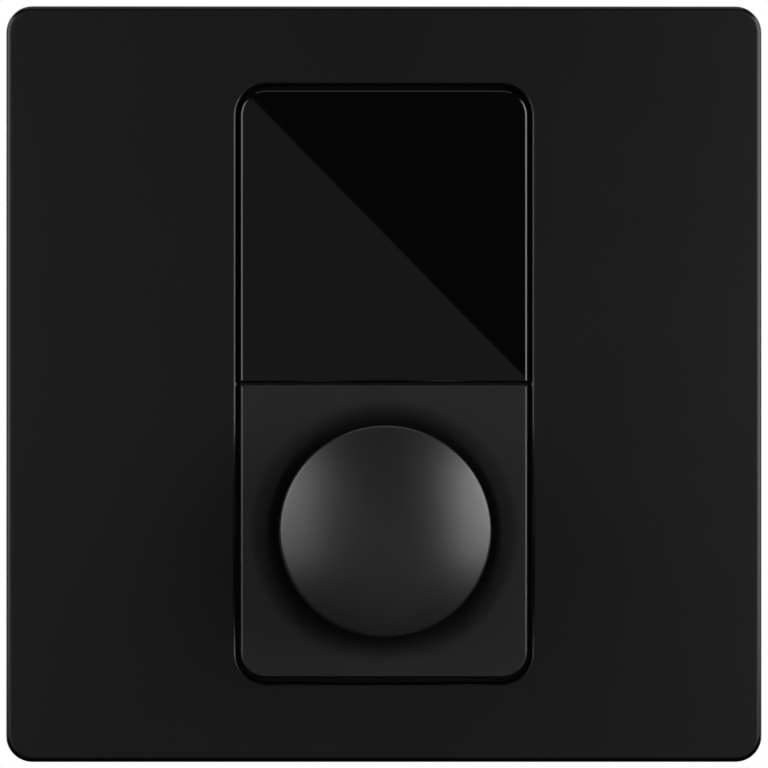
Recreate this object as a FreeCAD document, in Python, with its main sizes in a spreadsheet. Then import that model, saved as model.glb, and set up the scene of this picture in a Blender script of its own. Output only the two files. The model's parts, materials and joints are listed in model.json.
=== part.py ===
import FreeCAD, Part

# Wall volume controller. A square face plate snaps on to a mounting frame that is screwed
# to the wall box. A carrier behind the plate's window holds a dark display lens above and
# a push-and-turn knob below, and a housing inside the wall box closes the electronics.
#
# Everything is in millimetres. The wall is the plane y = 0, the front faces -Y, +X is right
# and +Z is up. The origin lies on the wall, midway between the two box screws. A height is
# a distance in front of the wall: a face at height 8.5 lies at y = -8.5, and what is inside
# the wall box has heights below zero.

import math
import os

import Sketcher
from FreeCAD import Vector

# The driving sizes, in millimetres unless the name ends in count.
SIZES = {
    # Face plate
    "plate_side": 86.0,
    "plate_corner": 3.0,
    "plate_edge": 0.6,
    "window_edge": 0.5,
    "plate_skin": 1.8,
    "plate_wall": 1.8,
    "lip_wall": 1.2,
    "lip_gap": 0.3,
    "rib_wall": 1.2,
    "rib_gap": 0.2,
    "rib_spread": 8.0,
    "pry_width": 12.0,
    "pry_depth": 1.2,
    # Room between the carrier's flange and the plate's skin
    "cover_room": 2.6,
    # Snap beads of the plate and the frame
    "bead_length": 10.0,
    "bead_spread": 22.0,
    "bead_reach": 0.8,
    "bead_flat": 0.4,
    "bead_rise": 1.2,
    "catch_level": 1.6,
    # Mounting frame
    "cover_gap": 1.2,
    "frame_web": 2.5,
    "frame_rim": 1.6,
    "frame_corner": 2.2,
    "rim_drop": 1.7,
    "box_spacing": 60.3,
    "slot_width": 4.2,
    "slot_length": 6.0,
    "opening_width": 7.5,
    "opening_height": 8.0,
    "opening_low_rise": 13.0,
    "opening_high_rise": 33.0,
    "housing_gap": 0.6,
    "hook_spread": 24.0,
    "hook_width": 6.0,
    "hook_wall": 1.2,
    "hook_gap": 0.15,
    "hook_nose": 0.8,
    "hook_flat": 0.4,
    "hook_rise": 1.4,
    # Carrier behind the window
    "insert_width": 32.7,
    "insert_height": 66.9,
    "insert_corner": 2.9,
    "insert_proud": 0.4,
    "insert_gap": 0.45,
    "insert_edge": 0.3,
    "groove": 0.3,
    "panel": 2.0,
    "dish_radius": 15.4,
    "dish_round": 7.6,
    "dish_depth": 0.9,
    "dish_lap": 0.6,
    "shelf": 1.5,
    "bezel_wall": 1.6,
    "bezel_end_wall": 3.0,
    "flange": 1.6,
    "flange_lap": 3.4,
    "flange_gap": 0.6,
    "flange_corner": 3.0,
    "panel_rib_wall": 1.0,
    "panel_rib_depth": 1.5,
    "locator_wall": 1.2,
    "locator_length": 10.0,
    "locator_spread": 10.0,
    "locator_gap": 0.15,
    # Arms of the carrier that snap into the rear housing
    "arm_spread": 22.0,
    "arm_width": 5.0,
    "arm_wall": 1.2,
    "arm_drop": 2.0,
    "arm_nose": 0.7,
    "arm_flat": 0.5,
    "arm_rise": 1.5,
    "arm_gap": 0.2,
    "press_gap": 0.02,
    # Lens and display
    "lens": 1.5,
    "tape": 0.3,
    "tape_inset": 0.7,
    "tape_clear": 0.5,
    "aperture_width": 23.5,
    "aperture_height": 12.6,
    "gasket": 0.3,
    "gasket_clear": 0.3,
    "glass": 0.7,
    "glass_width": 26.7,
    "cap_glass_height": 14.5,
    "base_glass_height": 19.3,
    "glass_gap": 0.3,
    "glass_rib_wall": 0.8,
    "glass_rib_depth": 1.0,
    "foam": 0.8,
    "foam_inset": 1.2,
    "holder_wall": 1.0,
    "flex": 0.2,
    "flex_width": 12.0,
    "flex_gap": 0.3,
    "flex_drop": 1.1,
    "flex_bend": 0.6,
    "flex_rest": 0.5,
    "connector_width": 15.0,
    "connector_height": 1.2,
    "connector_depth": 4.2,
    "connector_gap": 2.0,
    "connector_mouth": 1.0,
    # Board and what is on it
    "board": 1.6,
    "board_gap": 0.3,
    "hole_gap": 0.15,
    "chip_side": 7.0,
    "chip_height": 1.2,
    "leads_count": 6.0,
    "lead_pitch": 0.9,
    "lead_width": 0.4,
    "lead_reach": 1.0,
    "lead_sheet": 0.2,
    "capacitor_width": 4.3,
    "capacitor_length": 7.3,
    "capacitor_height": 2.9,
    "capacitor_spread": 20.0,
    "capacitor_inset": 5.1,
    "inductor_side": 6.0,
    "inductor_height": 3.0,
    "inductor_corner": 1.4,
    "crystal_length": 5.0,
    "crystal_width": 3.2,
    "crystal_height": 0.9,
    "side_part_inset": 6.6,
    # Rear housing
    "housing_width": 42.0,
    "housing_lap": 0.5,
    "housing_corner": 3.0,
    "housing_wall": 1.6,
    "housing_floor": 1.8,
    "housing_edge": 0.8,
    "clamp_wall": 1.2,
    "clamp_reach": 2.0,
    "vent_width": 1.2,
    "vent_length": 8.0,
    "vent_pitch": 3.6,
    "vents_count": 5.0,
    "vent_inset": 5.0,
    # Network socket
    "jack_width": 15.4,
    "jack_height": 13.0,
    "jack_depth": 16.2,
    "jack_rise": 12.0,
    "jack_gap": 0.15,
    "jack_sheet": 0.25,
    "mouth_width": 11.9,
    "mouth_height": 6.8,
    "mouth_depth": 12.5,
    "mouth_raise": 0.9,
    "latch_width": 6.3,
    "latch_height": 1.6,
    "contacts_count": 8.0,
    "contact_pitch": 1.016,
    "contact_wire": 0.45,
    "contact_setback": 1.6,
    "contact_run": 8.0,
    "contact_dip": 2.1,
    "tab_width": 2.0,
    "tab_reach": 0.8,
    # Encoder
    "encoder_width": 12.0,
    "encoder_height": 11.7,
    "clip_sheet": 0.3,
    "clip_arm_width": 5.0,
    "clip_lug_width": 2.0,
    "clip_lug_reach": 0.9,
    "bush_flange": 1.2,
    "bush_radius": 3.5,
    "bush_stand": 3.0,
    "bush_gap": 0.1,
    "counterbore_depth": 0.5,
    "counterbore_gap": 0.2,
    "base_depth": 4.8,
    "base_floor": 0.8,
    "base_feet": 0.3,
    "foot_side": 1.4,
    "foot_inset": 1.0,
    "cup_radius": 5.1,
    "terminal_side": 0.6,
    "terminal_pitch": 2.5,
    "terminal_inset": 0.4,
    "terminal_seat": 1.4,
    "terminal_reach": 0.9,
    # Detent, rotor and contacts
    "spring_sheet": 0.2,
    "spring_width": 0.85,
    "spring_gap": 0.1,
    "detent_room": 0.9,
    "detents_count": 24.0,
    "detent_depth": 0.35,
    "detent_half_width": 0.4,
    "detent_length": 1.0,
    "bump_half_width": 0.5,
    "bump_gap": 0.1,
    "rotor_gap": 0.3,
    "rotor_depth": 1.5,
    "disc_sheet": 0.2,
    "disc_inset": 0.2,
    "disc_width": 2.2,
    "disc_windows_count": 12.0,
    "disc_window_length": 1.2,
    "disc_window_width": 0.6,
    "wiper_sheet": 0.12,
    "wiper_width": 0.8,
    "wiper_radius": 3.3,
    "wiper_foot": 1.1,
    "wiper_run": 2.0,
    "wiper_tail": 0.5,
    "wipers_count": 3.0,
    "contact_gap": 0.05,
    "dome_radius": 2.3,
    "dome_rise": 0.65,
    "dome_sheet": 0.12,
    "dome_leg": 1.4,
    # Shaft
    "shaft_radius": 3.0,
    "running_gap": 0.05,
    "shaft_tail_radius": 2.2,
    "shaft_tail_flat": 1.6,
    "push_travel": 0.5,
    "push_gap": 0.15,
    "groove_depth": 0.4,
    "clip_thickness": 0.4,
    "clip_radius": 3.8,
    "clip_mouth": 4.0,
    "shaft_tip": 8.0,
    "shaft_edge": 0.4,
    "shaft_flat": 1.5,
    "flat_length": 7.4,
    # Washer and nut
    "washer": 0.5,
    "washer_radius": 5.2,
    "nut": 2.0,
    "nut_flats": 10.0,
    # Knob
    "knob_radius": 12.0,
    "knob_lift": 0.9,
    "knob_height": 10.8,
    "knob_crown": 2.3,
    "knob_edge": 0.4,
    "knob_wall": 1.8,
    "knob_skin": 1.8,
    "hub_radius": 4.6,
    "hub_gap": 0.2,
    "knob_ribs_count": 6.0,
    "knob_rib_wall": 1.2,
    "knob_rib_drop": 1.4,
    "tip_gap": 0.2,
    "leaf": 0.4,
    "leaf_width": 2.6,
    "leaf_inset": 0.8,
}

document = FreeCAD.newDocument("wall_volume_controller")
sheet = document.addObject("Spreadsheet::Sheet", "size")
for row, (name, number) in enumerate(SIZES.items(), start=1):
    sheet.set(f"A{row}", name)
    sheet.set(f"B{row}", str(number))
    sheet.setAlias(f"B{row}", name)
document.recompute()


class Length:
    """A length worked out from the sheet's cells, kept as the expression that is bound."""

    def __init__(self, text):
        self.text = text

    def value(self):
        """The length's number with the sheet as it is."""
        return float(sheet.evalExpression(self.text))

    def __add__(self, other):
        return joined(self, "+", other)

    def __radd__(self, other):
        return joined(other, "+", self)

    def __sub__(self, other):
        return joined(self, "-", other)

    def __rsub__(self, other):
        return joined(other, "-", self)

    def __mul__(self, other):
        return joined(self, "*", other)

    def __rmul__(self, other):
        return joined(other, "*", self)

    def __truediv__(self, other):
        return joined(self, "/", other)

    def __neg__(self):
        return joined(0, "-", self)

    def root(self):
        """The square root."""
        return Length(f"sqrt({self.text})")


def joined(left, sign, right):
    """The length that two lengths or numbers give with a sign between them."""
    return Length(f"({text_of(left)} {sign} {text_of(right)})")


def text_of(length):
    """The text of a length or of a plain number."""
    return length.text if isinstance(length, Length) else str(length)


def value_of(length):
    """The number of a length or of a plain number."""
    return length.value() if isinstance(length, Length) else float(length)


class Sheet:
    """Gives each cell of the sheet as a Length, by its alias."""

    def __getattr__(self, name):
        if name not in SIZES:
            raise AttributeError(name)
        return Length(f"size.{name}")


size = Sheet()
WALL = 0

# Heights above the wall, from the wall outwards
flange_back = size.frame_web
flange_front = flange_back + size.flange
plate_back = flange_front + size.cover_room
plate_front = plate_back + size.plate_skin
rim_front = plate_back - size.rim_drop
lip_back = flange_front + size.lip_gap
insert_front = plate_front + size.insert_proud

# Heights behind the lens and the panel
lens_back = insert_front - size.lens
shelf_front = lens_back - size.tape
shelf_back = shelf_front - size.shelf
gasket_back = shelf_back - size.gasket
cap_glass_back = gasket_back - size.glass
base_glass_back = cap_glass_back - size.glass
holder_front = base_glass_back - size.foam
panel_back = insert_front - size.panel
clip_back = panel_back - size.clip_sheet
bush_back = clip_back - size.bush_flange
base_back = bush_back - size.base_depth
board_front = base_back - size.base_feet
board_back = board_front - size.board
arm_catch = board_back - size.arm_drop
arm_tip = arm_catch - size.arm_flat - size.arm_rise
housing_back = board_back - size.jack_depth

# Heights inside the encoder
bush_front = insert_front + size.bush_stand
cup_floor = base_back + size.base_floor
rotor_front = bush_back - size.detent_room
rotor_back = rotor_front - size.rotor_depth
disc_back = rotor_back - size.disc_sheet
dome_crown = cup_floor + size.dome_rise
shaft_tail = dome_crown + size.contact_gap
shaft_shoulder = rotor_front + size.push_travel + size.push_gap
shaft_groove = bush_back + size.running_gap
shaft_tip = bush_front + size.shaft_tip

# Heights of the knob
knob_back = insert_front + size.knob_lift
knob_edge = knob_back + size.knob_height
knob_apex = knob_edge + size.knob_crown
hub_back = bush_front + size.push_travel + size.hub_gap
bore_end = shaft_tip + size.tip_gap

# Widths and places across the wall
plate_inner = size.plate_side - 2 * size.plate_wall
window_width = size.insert_width + 2 * size.insert_gap
window_height = size.insert_height + 2 * size.insert_gap
window_round = size.insert_corner + size.insert_gap
frame_side = plate_inner - 2 * size.cover_gap
frame_inner = frame_side - 2 * size.frame_rim
frame_window_width = size.housing_width + 2 * size.housing_gap
housing_height = size.insert_height + 2 * size.housing_lap
frame_window_height = housing_height + 2 * size.housing_gap
flange_width = frame_window_width + 2 * size.flange_lap
flange_height = frame_inner - 2 * size.flange_gap
hook_x = flange_width / 2 + size.hook_gap
cavity_width = size.insert_width - 2 * size.bezel_wall
cavity_end = size.insert_height / 2 - size.bezel_end_wall
tile_height = (size.insert_height - size.groove) / 2
knob_drop = (size.insert_height + size.groove) / 4
housing_inner_width = size.housing_width - 2 * size.housing_wall
housing_inner_height = housing_height - 2 * size.housing_wall
locator_x = housing_inner_width / 2 - size.locator_gap
locator_z = housing_inner_height / 2 - size.locator_gap
arm_inner = locator_x - size.arm_wall
board_width = housing_inner_width - 2 * size.board_gap
board_height = housing_inner_height - 2 * size.board_gap
side_part_x = board_width / 2 - size.side_part_inset
aperture_rise = knob_drop
base_glass_rise = aperture_rise + (size.cap_glass_height - size.base_glass_height) / 2
glass_low = base_glass_rise - size.base_glass_height / 2
flex_fall = glass_low - size.flex_drop
bush_hole = size.bush_radius + size.bush_gap
shield_width = size.jack_width + 2 * size.jack_sheet
shield_height = size.jack_height + 2 * size.jack_sheet


def corners(x, z):
    """The four places at x and z to each side of the middle."""
    return [(x, z), (-x, z), (-x, -z), (x, -z)]


terminal_row = size.encoder_height / 2 - size.terminal_inset
terminal_spots = [
    (-size.terminal_pitch, -terminal_row),
    (0, -terminal_row),
    (size.terminal_pitch, -terminal_row),
    (-size.terminal_pitch, terminal_row),
    (size.terminal_pitch, terminal_row),
]
tab_x = size.jack_width / 2 + size.jack_sheet / 2
lug_x = (size.encoder_width + size.clip_sheet) / 2


# Bodies, sketches and features

FRONT = "XZ_Plane"   # looks at the wall: sketch x is right, y is up, and depth is height
SIDE = "YZ_Plane"    # cuts upright: sketch x is minus the height, y is up, depth is right
LEVEL = "XY_Plane"   # cuts level: sketch x is right, y is minus the height, depth is up


def new_body(name, at=(0, 0)):
    """A body with its own origin at a place on the wall."""
    body = document.addObject("PartDesign::Body", name)
    body.Label = name
    body.setExpression(".Placement.Base.x", text_of(at[0]))
    body.setExpression(".Placement.Base.z", text_of(at[1]))
    return body


def origin_part(body, role):
    """One of the body's origin planes or axes."""
    return [part for part in body.Origin.OriginFeatures if part.Role == role][0]


def new_sketch(body, profile, depth, at=(0, 0), plane=FRONT):
    """A sketch on an origin plane of the body, moved in that plane and along its depth."""
    sketch = body.newObject("Sketcher::SketchObject", "Profile")
    sketch.AttachmentSupport = [(origin_part(body, plane), "")]
    sketch.MapMode = "FlatFace"
    sketch.setExpression(".AttachmentOffset.Base.x", text_of(at[0]))
    sketch.setExpression(".AttachmentOffset.Base.y", text_of(at[1]))
    sketch.setExpression(".AttachmentOffset.Base.z", text_of(depth))
    profile(sketch)
    return sketch


def feature(body, kind, name, **settings):
    """A feature of the body, which becomes its tip."""
    new = body.newObject(f"PartDesign::{kind}", name)
    for key, setting in settings.items():
        setattr(new, key, setting)
    body.Tip = new
    return new


def pad(body, low, high, profile, at=(0, 0), plane=FRONT):
    """Adds the profile's solid between two depths."""
    new = feature(body, "Pad", "Pad", Profile=new_sketch(body, profile, low, at, plane))
    new.setExpression("Length", text_of(high - low))
    return new


def cut(body, low, high, profile, at=(0, 0), plane=FRONT):
    """Takes the profile's solid away between two depths."""
    new = feature(
        body, "Pocket", "Pocket", Profile=new_sketch(body, profile, low, at, plane), Reversed=True
    )
    new.setExpression("Length", text_of(high - low))
    return new


def turn(body, profile, at=(0, 0), kind="Revolution"):
    """Turns a profile of radius and minus height about the axis that stands off the wall.
    A Groove takes the turned shape away."""
    sketch = new_sketch(body, profile, at[1], (at[0], 0), LEVEL)
    return feature(
        body, kind, "Turned", Profile=sketch, ReferenceAxis=(sketch, ["V_Axis"]), Angle=360
    )


def around(body, originals, count):
    """Repeats features evenly about the body's axis that stands off the wall."""
    new = feature(body, "PolarPattern", "Around", Originals=originals, Angle=360)
    new.Axis = (origin_part(body, "Y_Axis"), [""])
    new.setExpression("Occurrences", text_of(count))
    return new


def row(body, originals, role, pitch, count):
    """Repeats features along one of the body's axes."""
    new = feature(body, "LinearPattern", "Row", Originals=originals)
    new.Direction = (origin_part(body, role), [""])
    new.setExpression("Length", text_of(pitch * (count - 1)))
    new.setExpression("Occurrences", text_of(count))
    return new


def rows_around(body, originals, pitch, count):
    """Repeats features along X, and that row on the four sides of the body's axis."""
    new = feature(body, "MultiTransform", "Rows", Originals=originals)
    along = body.newObject("PartDesign::LinearPattern", "Along")
    along.Direction = (origin_part(body, "X_Axis"), [""])
    along.setExpression("Length", text_of(pitch * (count - 1)))
    along.setExpression("Occurrences", text_of(count))
    about = body.newObject("PartDesign::PolarPattern", "About")
    about.Axis = (origin_part(body, "Y_Axis"), [""])
    about.Angle = 360
    about.Occurrences = 4
    new.Transformations = [along, about]
    body.Tip = new
    return new


def dress(body, kind, base, amount, chosen):
    """Rounds or bevels those edges of a feature that the chosen test picks."""
    document.recompute()
    names = [f"Edge{i}" for i, edge in enumerate(base.Shape.Edges, start=1) if chosen(edge)]
    new = feature(body, kind, kind, Base=(base, names))
    new.setExpression("Radius" if kind == "Fillet" else "Size", text_of(amount))
    return new


CLOSE = 0.001


def near(a, b):
    """Whether two places are the same."""
    return abs(a - b) < CLOSE


def edges_at(height, half_width=math.inf, half_height=math.inf):
    """Picks the edges at a height, within a distance to each side of the middle."""
    level = -value_of(height)

    def chosen(edge):
        box = edge.BoundBox
        inside = max(abs(box.XMin), abs(box.XMax)) <= half_width + CLOSE
        inside = inside and max(abs(box.ZMin), abs(box.ZMax)) <= half_height + CLOSE
        return inside and near(box.YMin, level) and near(box.YMax, level)

    return chosen


def edge_along_x(height, z):
    """Picks the edge that runs along X at a height and a z."""
    level = -value_of(height)
    rise = value_of(z)

    def chosen(edge):
        box = edge.BoundBox
        flat = near(box.YMin, level) and near(box.YMax, level)
        return flat and near(box.ZMin, rise) and near(box.ZMax, rise)

    return chosen


# Profiles: each gives a function that draws it in a sketch, fully constrained

def hold(sketch, geometry, point, x, y):
    """Holds a point of the sketch at x and y. In a sketch, -1 is the level axis, whose first
    point is the origin, and -2 is the upright axis."""
    for kind, axis, distance in (("DistanceX", -2, x), ("DistanceY", -1, y)):
        if not isinstance(distance, Length) and distance == 0:
            sketch.addConstraint(Sketcher.Constraint("PointOnObject", geometry, point, axis))
        else:
            number = value_of(distance)
            bound = Sketcher.Constraint(kind, -1, 1, geometry, point, number)
            index = sketch.addConstraint(bound)
            sketch.setExpression(f"Constraints[{index}]", text_of(distance))


def size_radius(sketch, geometry, radius):
    """Sets the radius of an arc or a circle."""
    index = sketch.addConstraint(Sketcher.Constraint("Radius", geometry, value_of(radius)))
    sketch.setExpression(f"Constraints[{index}]", text_of(radius))


def polygon(*points):
    """A closed outline. A point's third value is the radius of the arc that leads to it,
    above zero where the arc's centre is on the left and below zero where it is on the right."""

    def draw(sketch):
        places = [Vector(value_of(point[0]), value_of(point[1]), 0) for point in points]
        ends = []
        for i, point in enumerate(points):
            start = places[i - 1]
            end = places[i]
            if len(point) == 2:
                edge = sketch.addGeometry(Part.LineSegment(start, end), False)
                ends.append((edge, 1, 2))
                continue
            radius = value_of(point[2])
            along = end - start
            left = Vector(-along.y, along.x, 0).normalize()
            reach = math.sqrt(radius ** 2 - (along.Length / 2) ** 2)
            centre = (start + end) * 0.5 + left * math.copysign(reach, radius)
            circle = Part.Circle(centre, Vector(0, 0, 1), abs(radius))
            first, last = (start, end) if radius > 0 else (end, start)
            angles = [math.atan2(p.y - centre.y, p.x - centre.x) for p in (first, last)]
            edge = sketch.addGeometry(Part.ArcOfCircle(circle, *angles), False)
            ends.append((edge, 1, 2) if radius > 0 else (edge, 2, 1))
        for i, point in enumerate(points):
            edge, start, end = ends[i]
            before, _, before_end = ends[i - 1]
            sketch.addConstraint(Sketcher.Constraint("Coincident", before, before_end, edge, start))
        for i, point in enumerate(points):
            edge, start, end = ends[i]
            hold(sketch, edge, end, point[0], point[1])
            if len(point) == 3:
                size_radius(sketch, edge, point[2] if value_of(point[2]) > 0 else -point[2])

    return draw


def rectangle(left, right, low, high):
    """A rectangle between two x and two y."""
    return polygon((left, low), (right, low), (right, high), (left, high))


def middle(width, height):
    """A rectangle round the sketch's origin."""
    return rectangle(-width / 2, width / 2, -height / 2, height / 2)


def squares(spots, side):
    """Squares of one side at several places."""
    half = side / 2
    return together(*[rectangle(x - half, x + half, y - half, y + half) for x, y in spots])


def rounded(width, height, corner):
    """A rectangle round the sketch's origin with rounded corners."""
    w = width / 2
    t = height / 2
    return polygon(
        (corner - w, -t, corner),
        (w - corner, -t),
        (w, corner - t, corner),
        (w, t - corner),
        (w - corner, t, corner),
        (corner - w, t),
        (-w, t - corner, corner),
        (-w, corner - t),
    )


def end_rounded(width, height, corner, way):
    """A rectangle round the sketch's origin with two corners rounded: the upper ones
    where way is 1 and the lower ones where it is -1."""
    w = width / 2
    t = way * height / 2
    bend = way * corner
    return polygon(
        (-w, -t), (w, -t), (w, t - bend), (w - corner, t, bend), (corner - w, t), (-w, t - bend, bend)
    )


def circles(spots, radius):
    """Circles of one radius at several places."""

    def draw(sketch):
        drawn = []
        for x, y in spots:
            centre = Vector(value_of(x), value_of(y), 0)
            circle = Part.Circle(centre, Vector(0, 0, 1), value_of(radius))
            drawn.append(sketch.addGeometry(circle, False))
            hold(sketch, drawn[-1], 3, x, y)
        size_radius(sketch, drawn[0], radius)
        for circle in drawn[1:]:
            sketch.addConstraint(Sketcher.Constraint("Equal", drawn[0], circle))

    return draw


def circle(radius):
    """A circle round the sketch's origin."""
    return circles([(0, 0)], radius)


def together(*profiles):
    """Several closed outlines in one sketch. One inside another is a hole in it."""

    def draw(sketch):
        for profile in profiles:
            profile(sketch)

    return draw


def obround(length, width):
    """A slot with round ends, lying along the sketch's x."""
    reach = (length - width) / 2
    half = width / 2
    return polygon(
        (-reach, -half, half),
        (reach, -half),
        (reach + half, 0, half),
        (reach, half, half),
        (-reach, half),
        (-reach - half, 0, half),
    )


def one_flat(radius, flat):
    """A circle with one flat side, at a distance above its middle."""
    chord = (radius * radius - flat * flat).root()
    return polygon((-chord, flat, -radius), (chord, flat), (0, -radius, -radius))


def two_flats(radius, flat):
    """A circle with two flat sides, at a distance above and below its middle."""
    chord = (radius * radius - flat * flat).root()
    return polygon(
        (-chord, flat, -radius), (chord, flat), (chord, -flat, -radius), (-chord, -flat)
    )


def hexagon(flats):
    """A hexagon of a width over its flats, with two corners on the sketch's x."""
    far = flats / math.sqrt(3)
    half = flats / 2
    return polygon(
        (far, 0), (far / 2, half), (-far / 2, half), (-far, 0), (-far / 2, -half), (far / 2, -half)
    )


def snap_beads(body, section):
    """Two beads of one section on each of the four sides."""
    pads = []
    for side in (-1, 1):
        low = side * size.bead_spread - size.bead_length / 2
        high = side * size.bead_spread + size.bead_length / 2
        pads.append(pad(body, low, high, section, plane=SIDE))
    return around(body, pads, 4)


# Face plate and mounting frame


def face_plate():
    """Square cover: a shallow box with a window, a lip behind its rim, ribs and snap beads."""
    body = new_body("face_plate")
    side = size.plate_side
    block = pad(body, WALL, plate_front, rounded(side, side, size.plate_corner))
    dress(body, "Chamfer", block, size.plate_edge, edges_at(plate_front))
    inner_corner = size.plate_corner - size.plate_wall
    cut(body, WALL, plate_back, rounded(plate_inner, plate_inner, inner_corner))
    lip = rounded(
        window_width + 2 * size.lip_wall,
        window_height + 2 * size.lip_wall,
        window_round + size.lip_wall,
    )
    pad(body, lip_back, plate_back, lip)
    ribs = []
    near_side = window_width / 2
    near_end = window_height / 2
    far = side / 2 - size.plate_wall / 2
    half = size.rib_wall / 2
    for way in (-1, 1):
        for rise in (size.hook_spread - size.rib_spread, size.hook_spread + size.rib_spread):
            low = way * rise - half
            high = way * rise + half
            ribs.append(rectangle(near_side, far, low, high))
            ribs.append(rectangle(-far, -near_side, low, high))
        left = way * size.rib_spread - half
        right = way * size.rib_spread + half
        ribs.append(rectangle(left, right, near_end, far))
        ribs.append(rectangle(left, right, -far, -near_end))
    pad(body, rim_front + size.rib_gap, plate_back, together(*ribs))
    window = cut(body, lip_back, plate_front, rounded(window_width, window_height, window_round))
    rim = edges_at(plate_front, value_of(window_width) / 2, value_of(window_height) / 2)
    dress(body, "Chamfer", window, size.window_edge, rim)
    inside = -plate_inner / 2
    catch = polygon(
        (-size.catch_level, inside),
        (-size.catch_level, inside + size.bead_reach),
        (size.bead_flat - size.catch_level, inside + size.bead_reach),
        (size.bead_rise - size.catch_level, inside),
    )
    snap_beads(body, catch)
    half_pry = size.pry_width / 2
    pry = rectangle(-half_pry, half_pry, -side / 2, inside)
    cut(body, WALL, size.pry_depth, pry)
    return body


def mounting_frame():
    """Moulded frame on the wall box, with slots for the box screws and hooks for the carrier."""
    body = new_body("mounting_frame")
    pad(body, WALL, size.frame_web, rounded(frame_side, frame_side, size.frame_corner))
    outer = rounded(frame_side, frame_side, size.frame_corner)
    pad(body, size.frame_web, rim_front, together(outer, middle(frame_inner, frame_inner)))
    outside = frame_side / 2
    catch = polygon(
        (-size.catch_level, outside),
        (-size.catch_level - size.bead_rise, outside),
        (-size.catch_level - size.bead_flat, outside + size.bead_reach),
        (-size.catch_level, outside + size.bead_reach),
    )
    snap_beads(body, catch)
    cut(
        body,
        WALL,
        size.frame_web,
        rounded(frame_window_width, frame_window_height, size.housing_corner + size.housing_gap),
    )
    slot = obround(size.slot_length, size.slot_width)
    openings = []
    opening_x = (flange_width + frame_inner) / 4
    for side in (-1, 1):
        cut(body, WALL, size.frame_web, slot, at=(side * size.box_spacing / 2, 0))
        for rise in (size.opening_low_rise, size.opening_high_rise):
            for way in (-1, 1):
                openings.append(
                    rectangle(
                        side * opening_x - size.opening_width / 2,
                        side * opening_x + size.opening_width / 2,
                        way * rise - size.opening_height / 2,
                        way * rise + size.opening_height / 2,
                    )
                )
    cut(body, WALL, size.frame_web, together(*openings))
    for side in (-1, 1):
        for way in (-1, 1):
            low = way * size.hook_spread - size.hook_width / 2
            high = way * size.hook_spread + size.hook_width / 2
            pad(body, low, high, hook(side), plane=LEVEL)
            under = rectangle(side * (hook_x - size.hook_nose), side * hook_x, low, high)
            cut(body, WALL, size.frame_web, under)
    return body


def hook(side):
    """Section of a hook whose nose holds the carrier's flange against the frame."""
    nose = side * (hook_x - size.hook_nose)
    face = side * hook_x
    back = side * (hook_x + size.hook_wall)
    top = flange_front + size.hook_rise
    return polygon(
        (face, -flange_back),
        (face, -flange_front),
        (nose, -flange_front),
        (nose, -flange_front - size.hook_flat),
        (face, -top),
        (back, -top),
        (back, -flange_back),
    )


# Carrier and rear housing


def control_bezel():
    """Moulded carrier: the lower panel with its dish, the lens shelf, a flange, ribs and arms."""
    body = new_body("control_bezel")
    block = rounded(size.insert_width, size.insert_height, size.insert_corner)
    pad(body, flange_back, shelf_front, block)
    tile = end_rounded(size.insert_width, tile_height, size.insert_corner, -1)
    panel = pad(body, shelf_front, insert_front, tile, at=(0, -knob_drop))
    dress(body, "Chamfer", panel, size.insert_edge, edges_at(insert_front))
    pad(body, flange_back, flange_front, rounded(flange_width, flange_height, size.flange_corner))
    half = cavity_width / 2
    low = size.bezel_wall / 2
    cut(body, flange_back, panel_back, rectangle(-half, half, -cavity_end, -low))
    cut(body, flange_back, shelf_back, rectangle(-half, half, low, cavity_end))
    aperture = middle(size.aperture_width, size.aperture_height)
    cut(body, shelf_back, shelf_front, aperture, at=(0, aperture_rise))
    pad(body, shelf_back - size.glass_rib_depth, shelf_back, display_ribs())
    cut(body, panel_back, insert_front, circle(bush_hole), at=(0, -knob_drop))
    turn(body, dish(), at=(0, -knob_drop), kind="Groove")
    pad(body, panel_back - size.panel_rib_depth, panel_back, panel_ribs())
    pad(body, board_front, flange_back, locators())
    for side in (-1, 1):
        for way in (-1, 1):
            low = way * size.arm_spread - size.arm_width / 2
            pad(body, low, low + size.arm_width, snap_arm(side), plane=LEVEL)
    return body


ROLL_STEPS = 3


def dish():
    """Section of the shallow dish round the knob: the panel rolls down to a level floor,
    round a boss that the washer sits on. The roll is an arc of dish_round, given as a few
    straight steps, because an arc turned round an axis has many times the facets."""
    boss = size.washer_radius + size.dish_lap
    roll = (size.dish_depth * (2 * size.dish_round - size.dish_depth)).root()
    points = [(boss, -insert_front), (boss, size.dish_depth - insert_front)]
    for step in range(ROLL_STEPS, -1, -1):
        inset = roll * step / ROLL_STEPS
        rise = (size.dish_round * size.dish_round - inset * inset).root()
        points.append((size.dish_radius - inset, size.dish_round - rise - insert_front))
    return polygon(*points)


def locators():
    """Ribs just inside the rear housing's walls, which the board rests on."""
    inner = locator_x - size.locator_wall
    low = locator_z - size.locator_wall
    half = size.locator_length / 2
    ribs = [rectangle(-half, half, low, locator_z), rectangle(-half, half, -locator_z, -low)]
    for way in (-1, 1):
        start = way * size.locator_spread - half
        end = way * size.locator_spread + half
        ribs.append(rectangle(inner, locator_x, start, end))
        ribs.append(rectangle(-locator_x, -inner, start, end))
    return together(*ribs)


def snap_arm(side):
    """Section of an arm whose nose springs into a window of the rear housing."""
    inner = side * arm_inner
    outer = side * locator_x
    nose = side * (locator_x + size.arm_nose)
    return polygon(
        (inner, -flange_back),
        (outer, -flange_back),
        (outer, -arm_catch),
        (nose, -arm_catch),
        (nose, size.arm_flat - arm_catch),
        (outer, -arm_tip),
        (inner, -arm_tip),
    )


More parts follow.
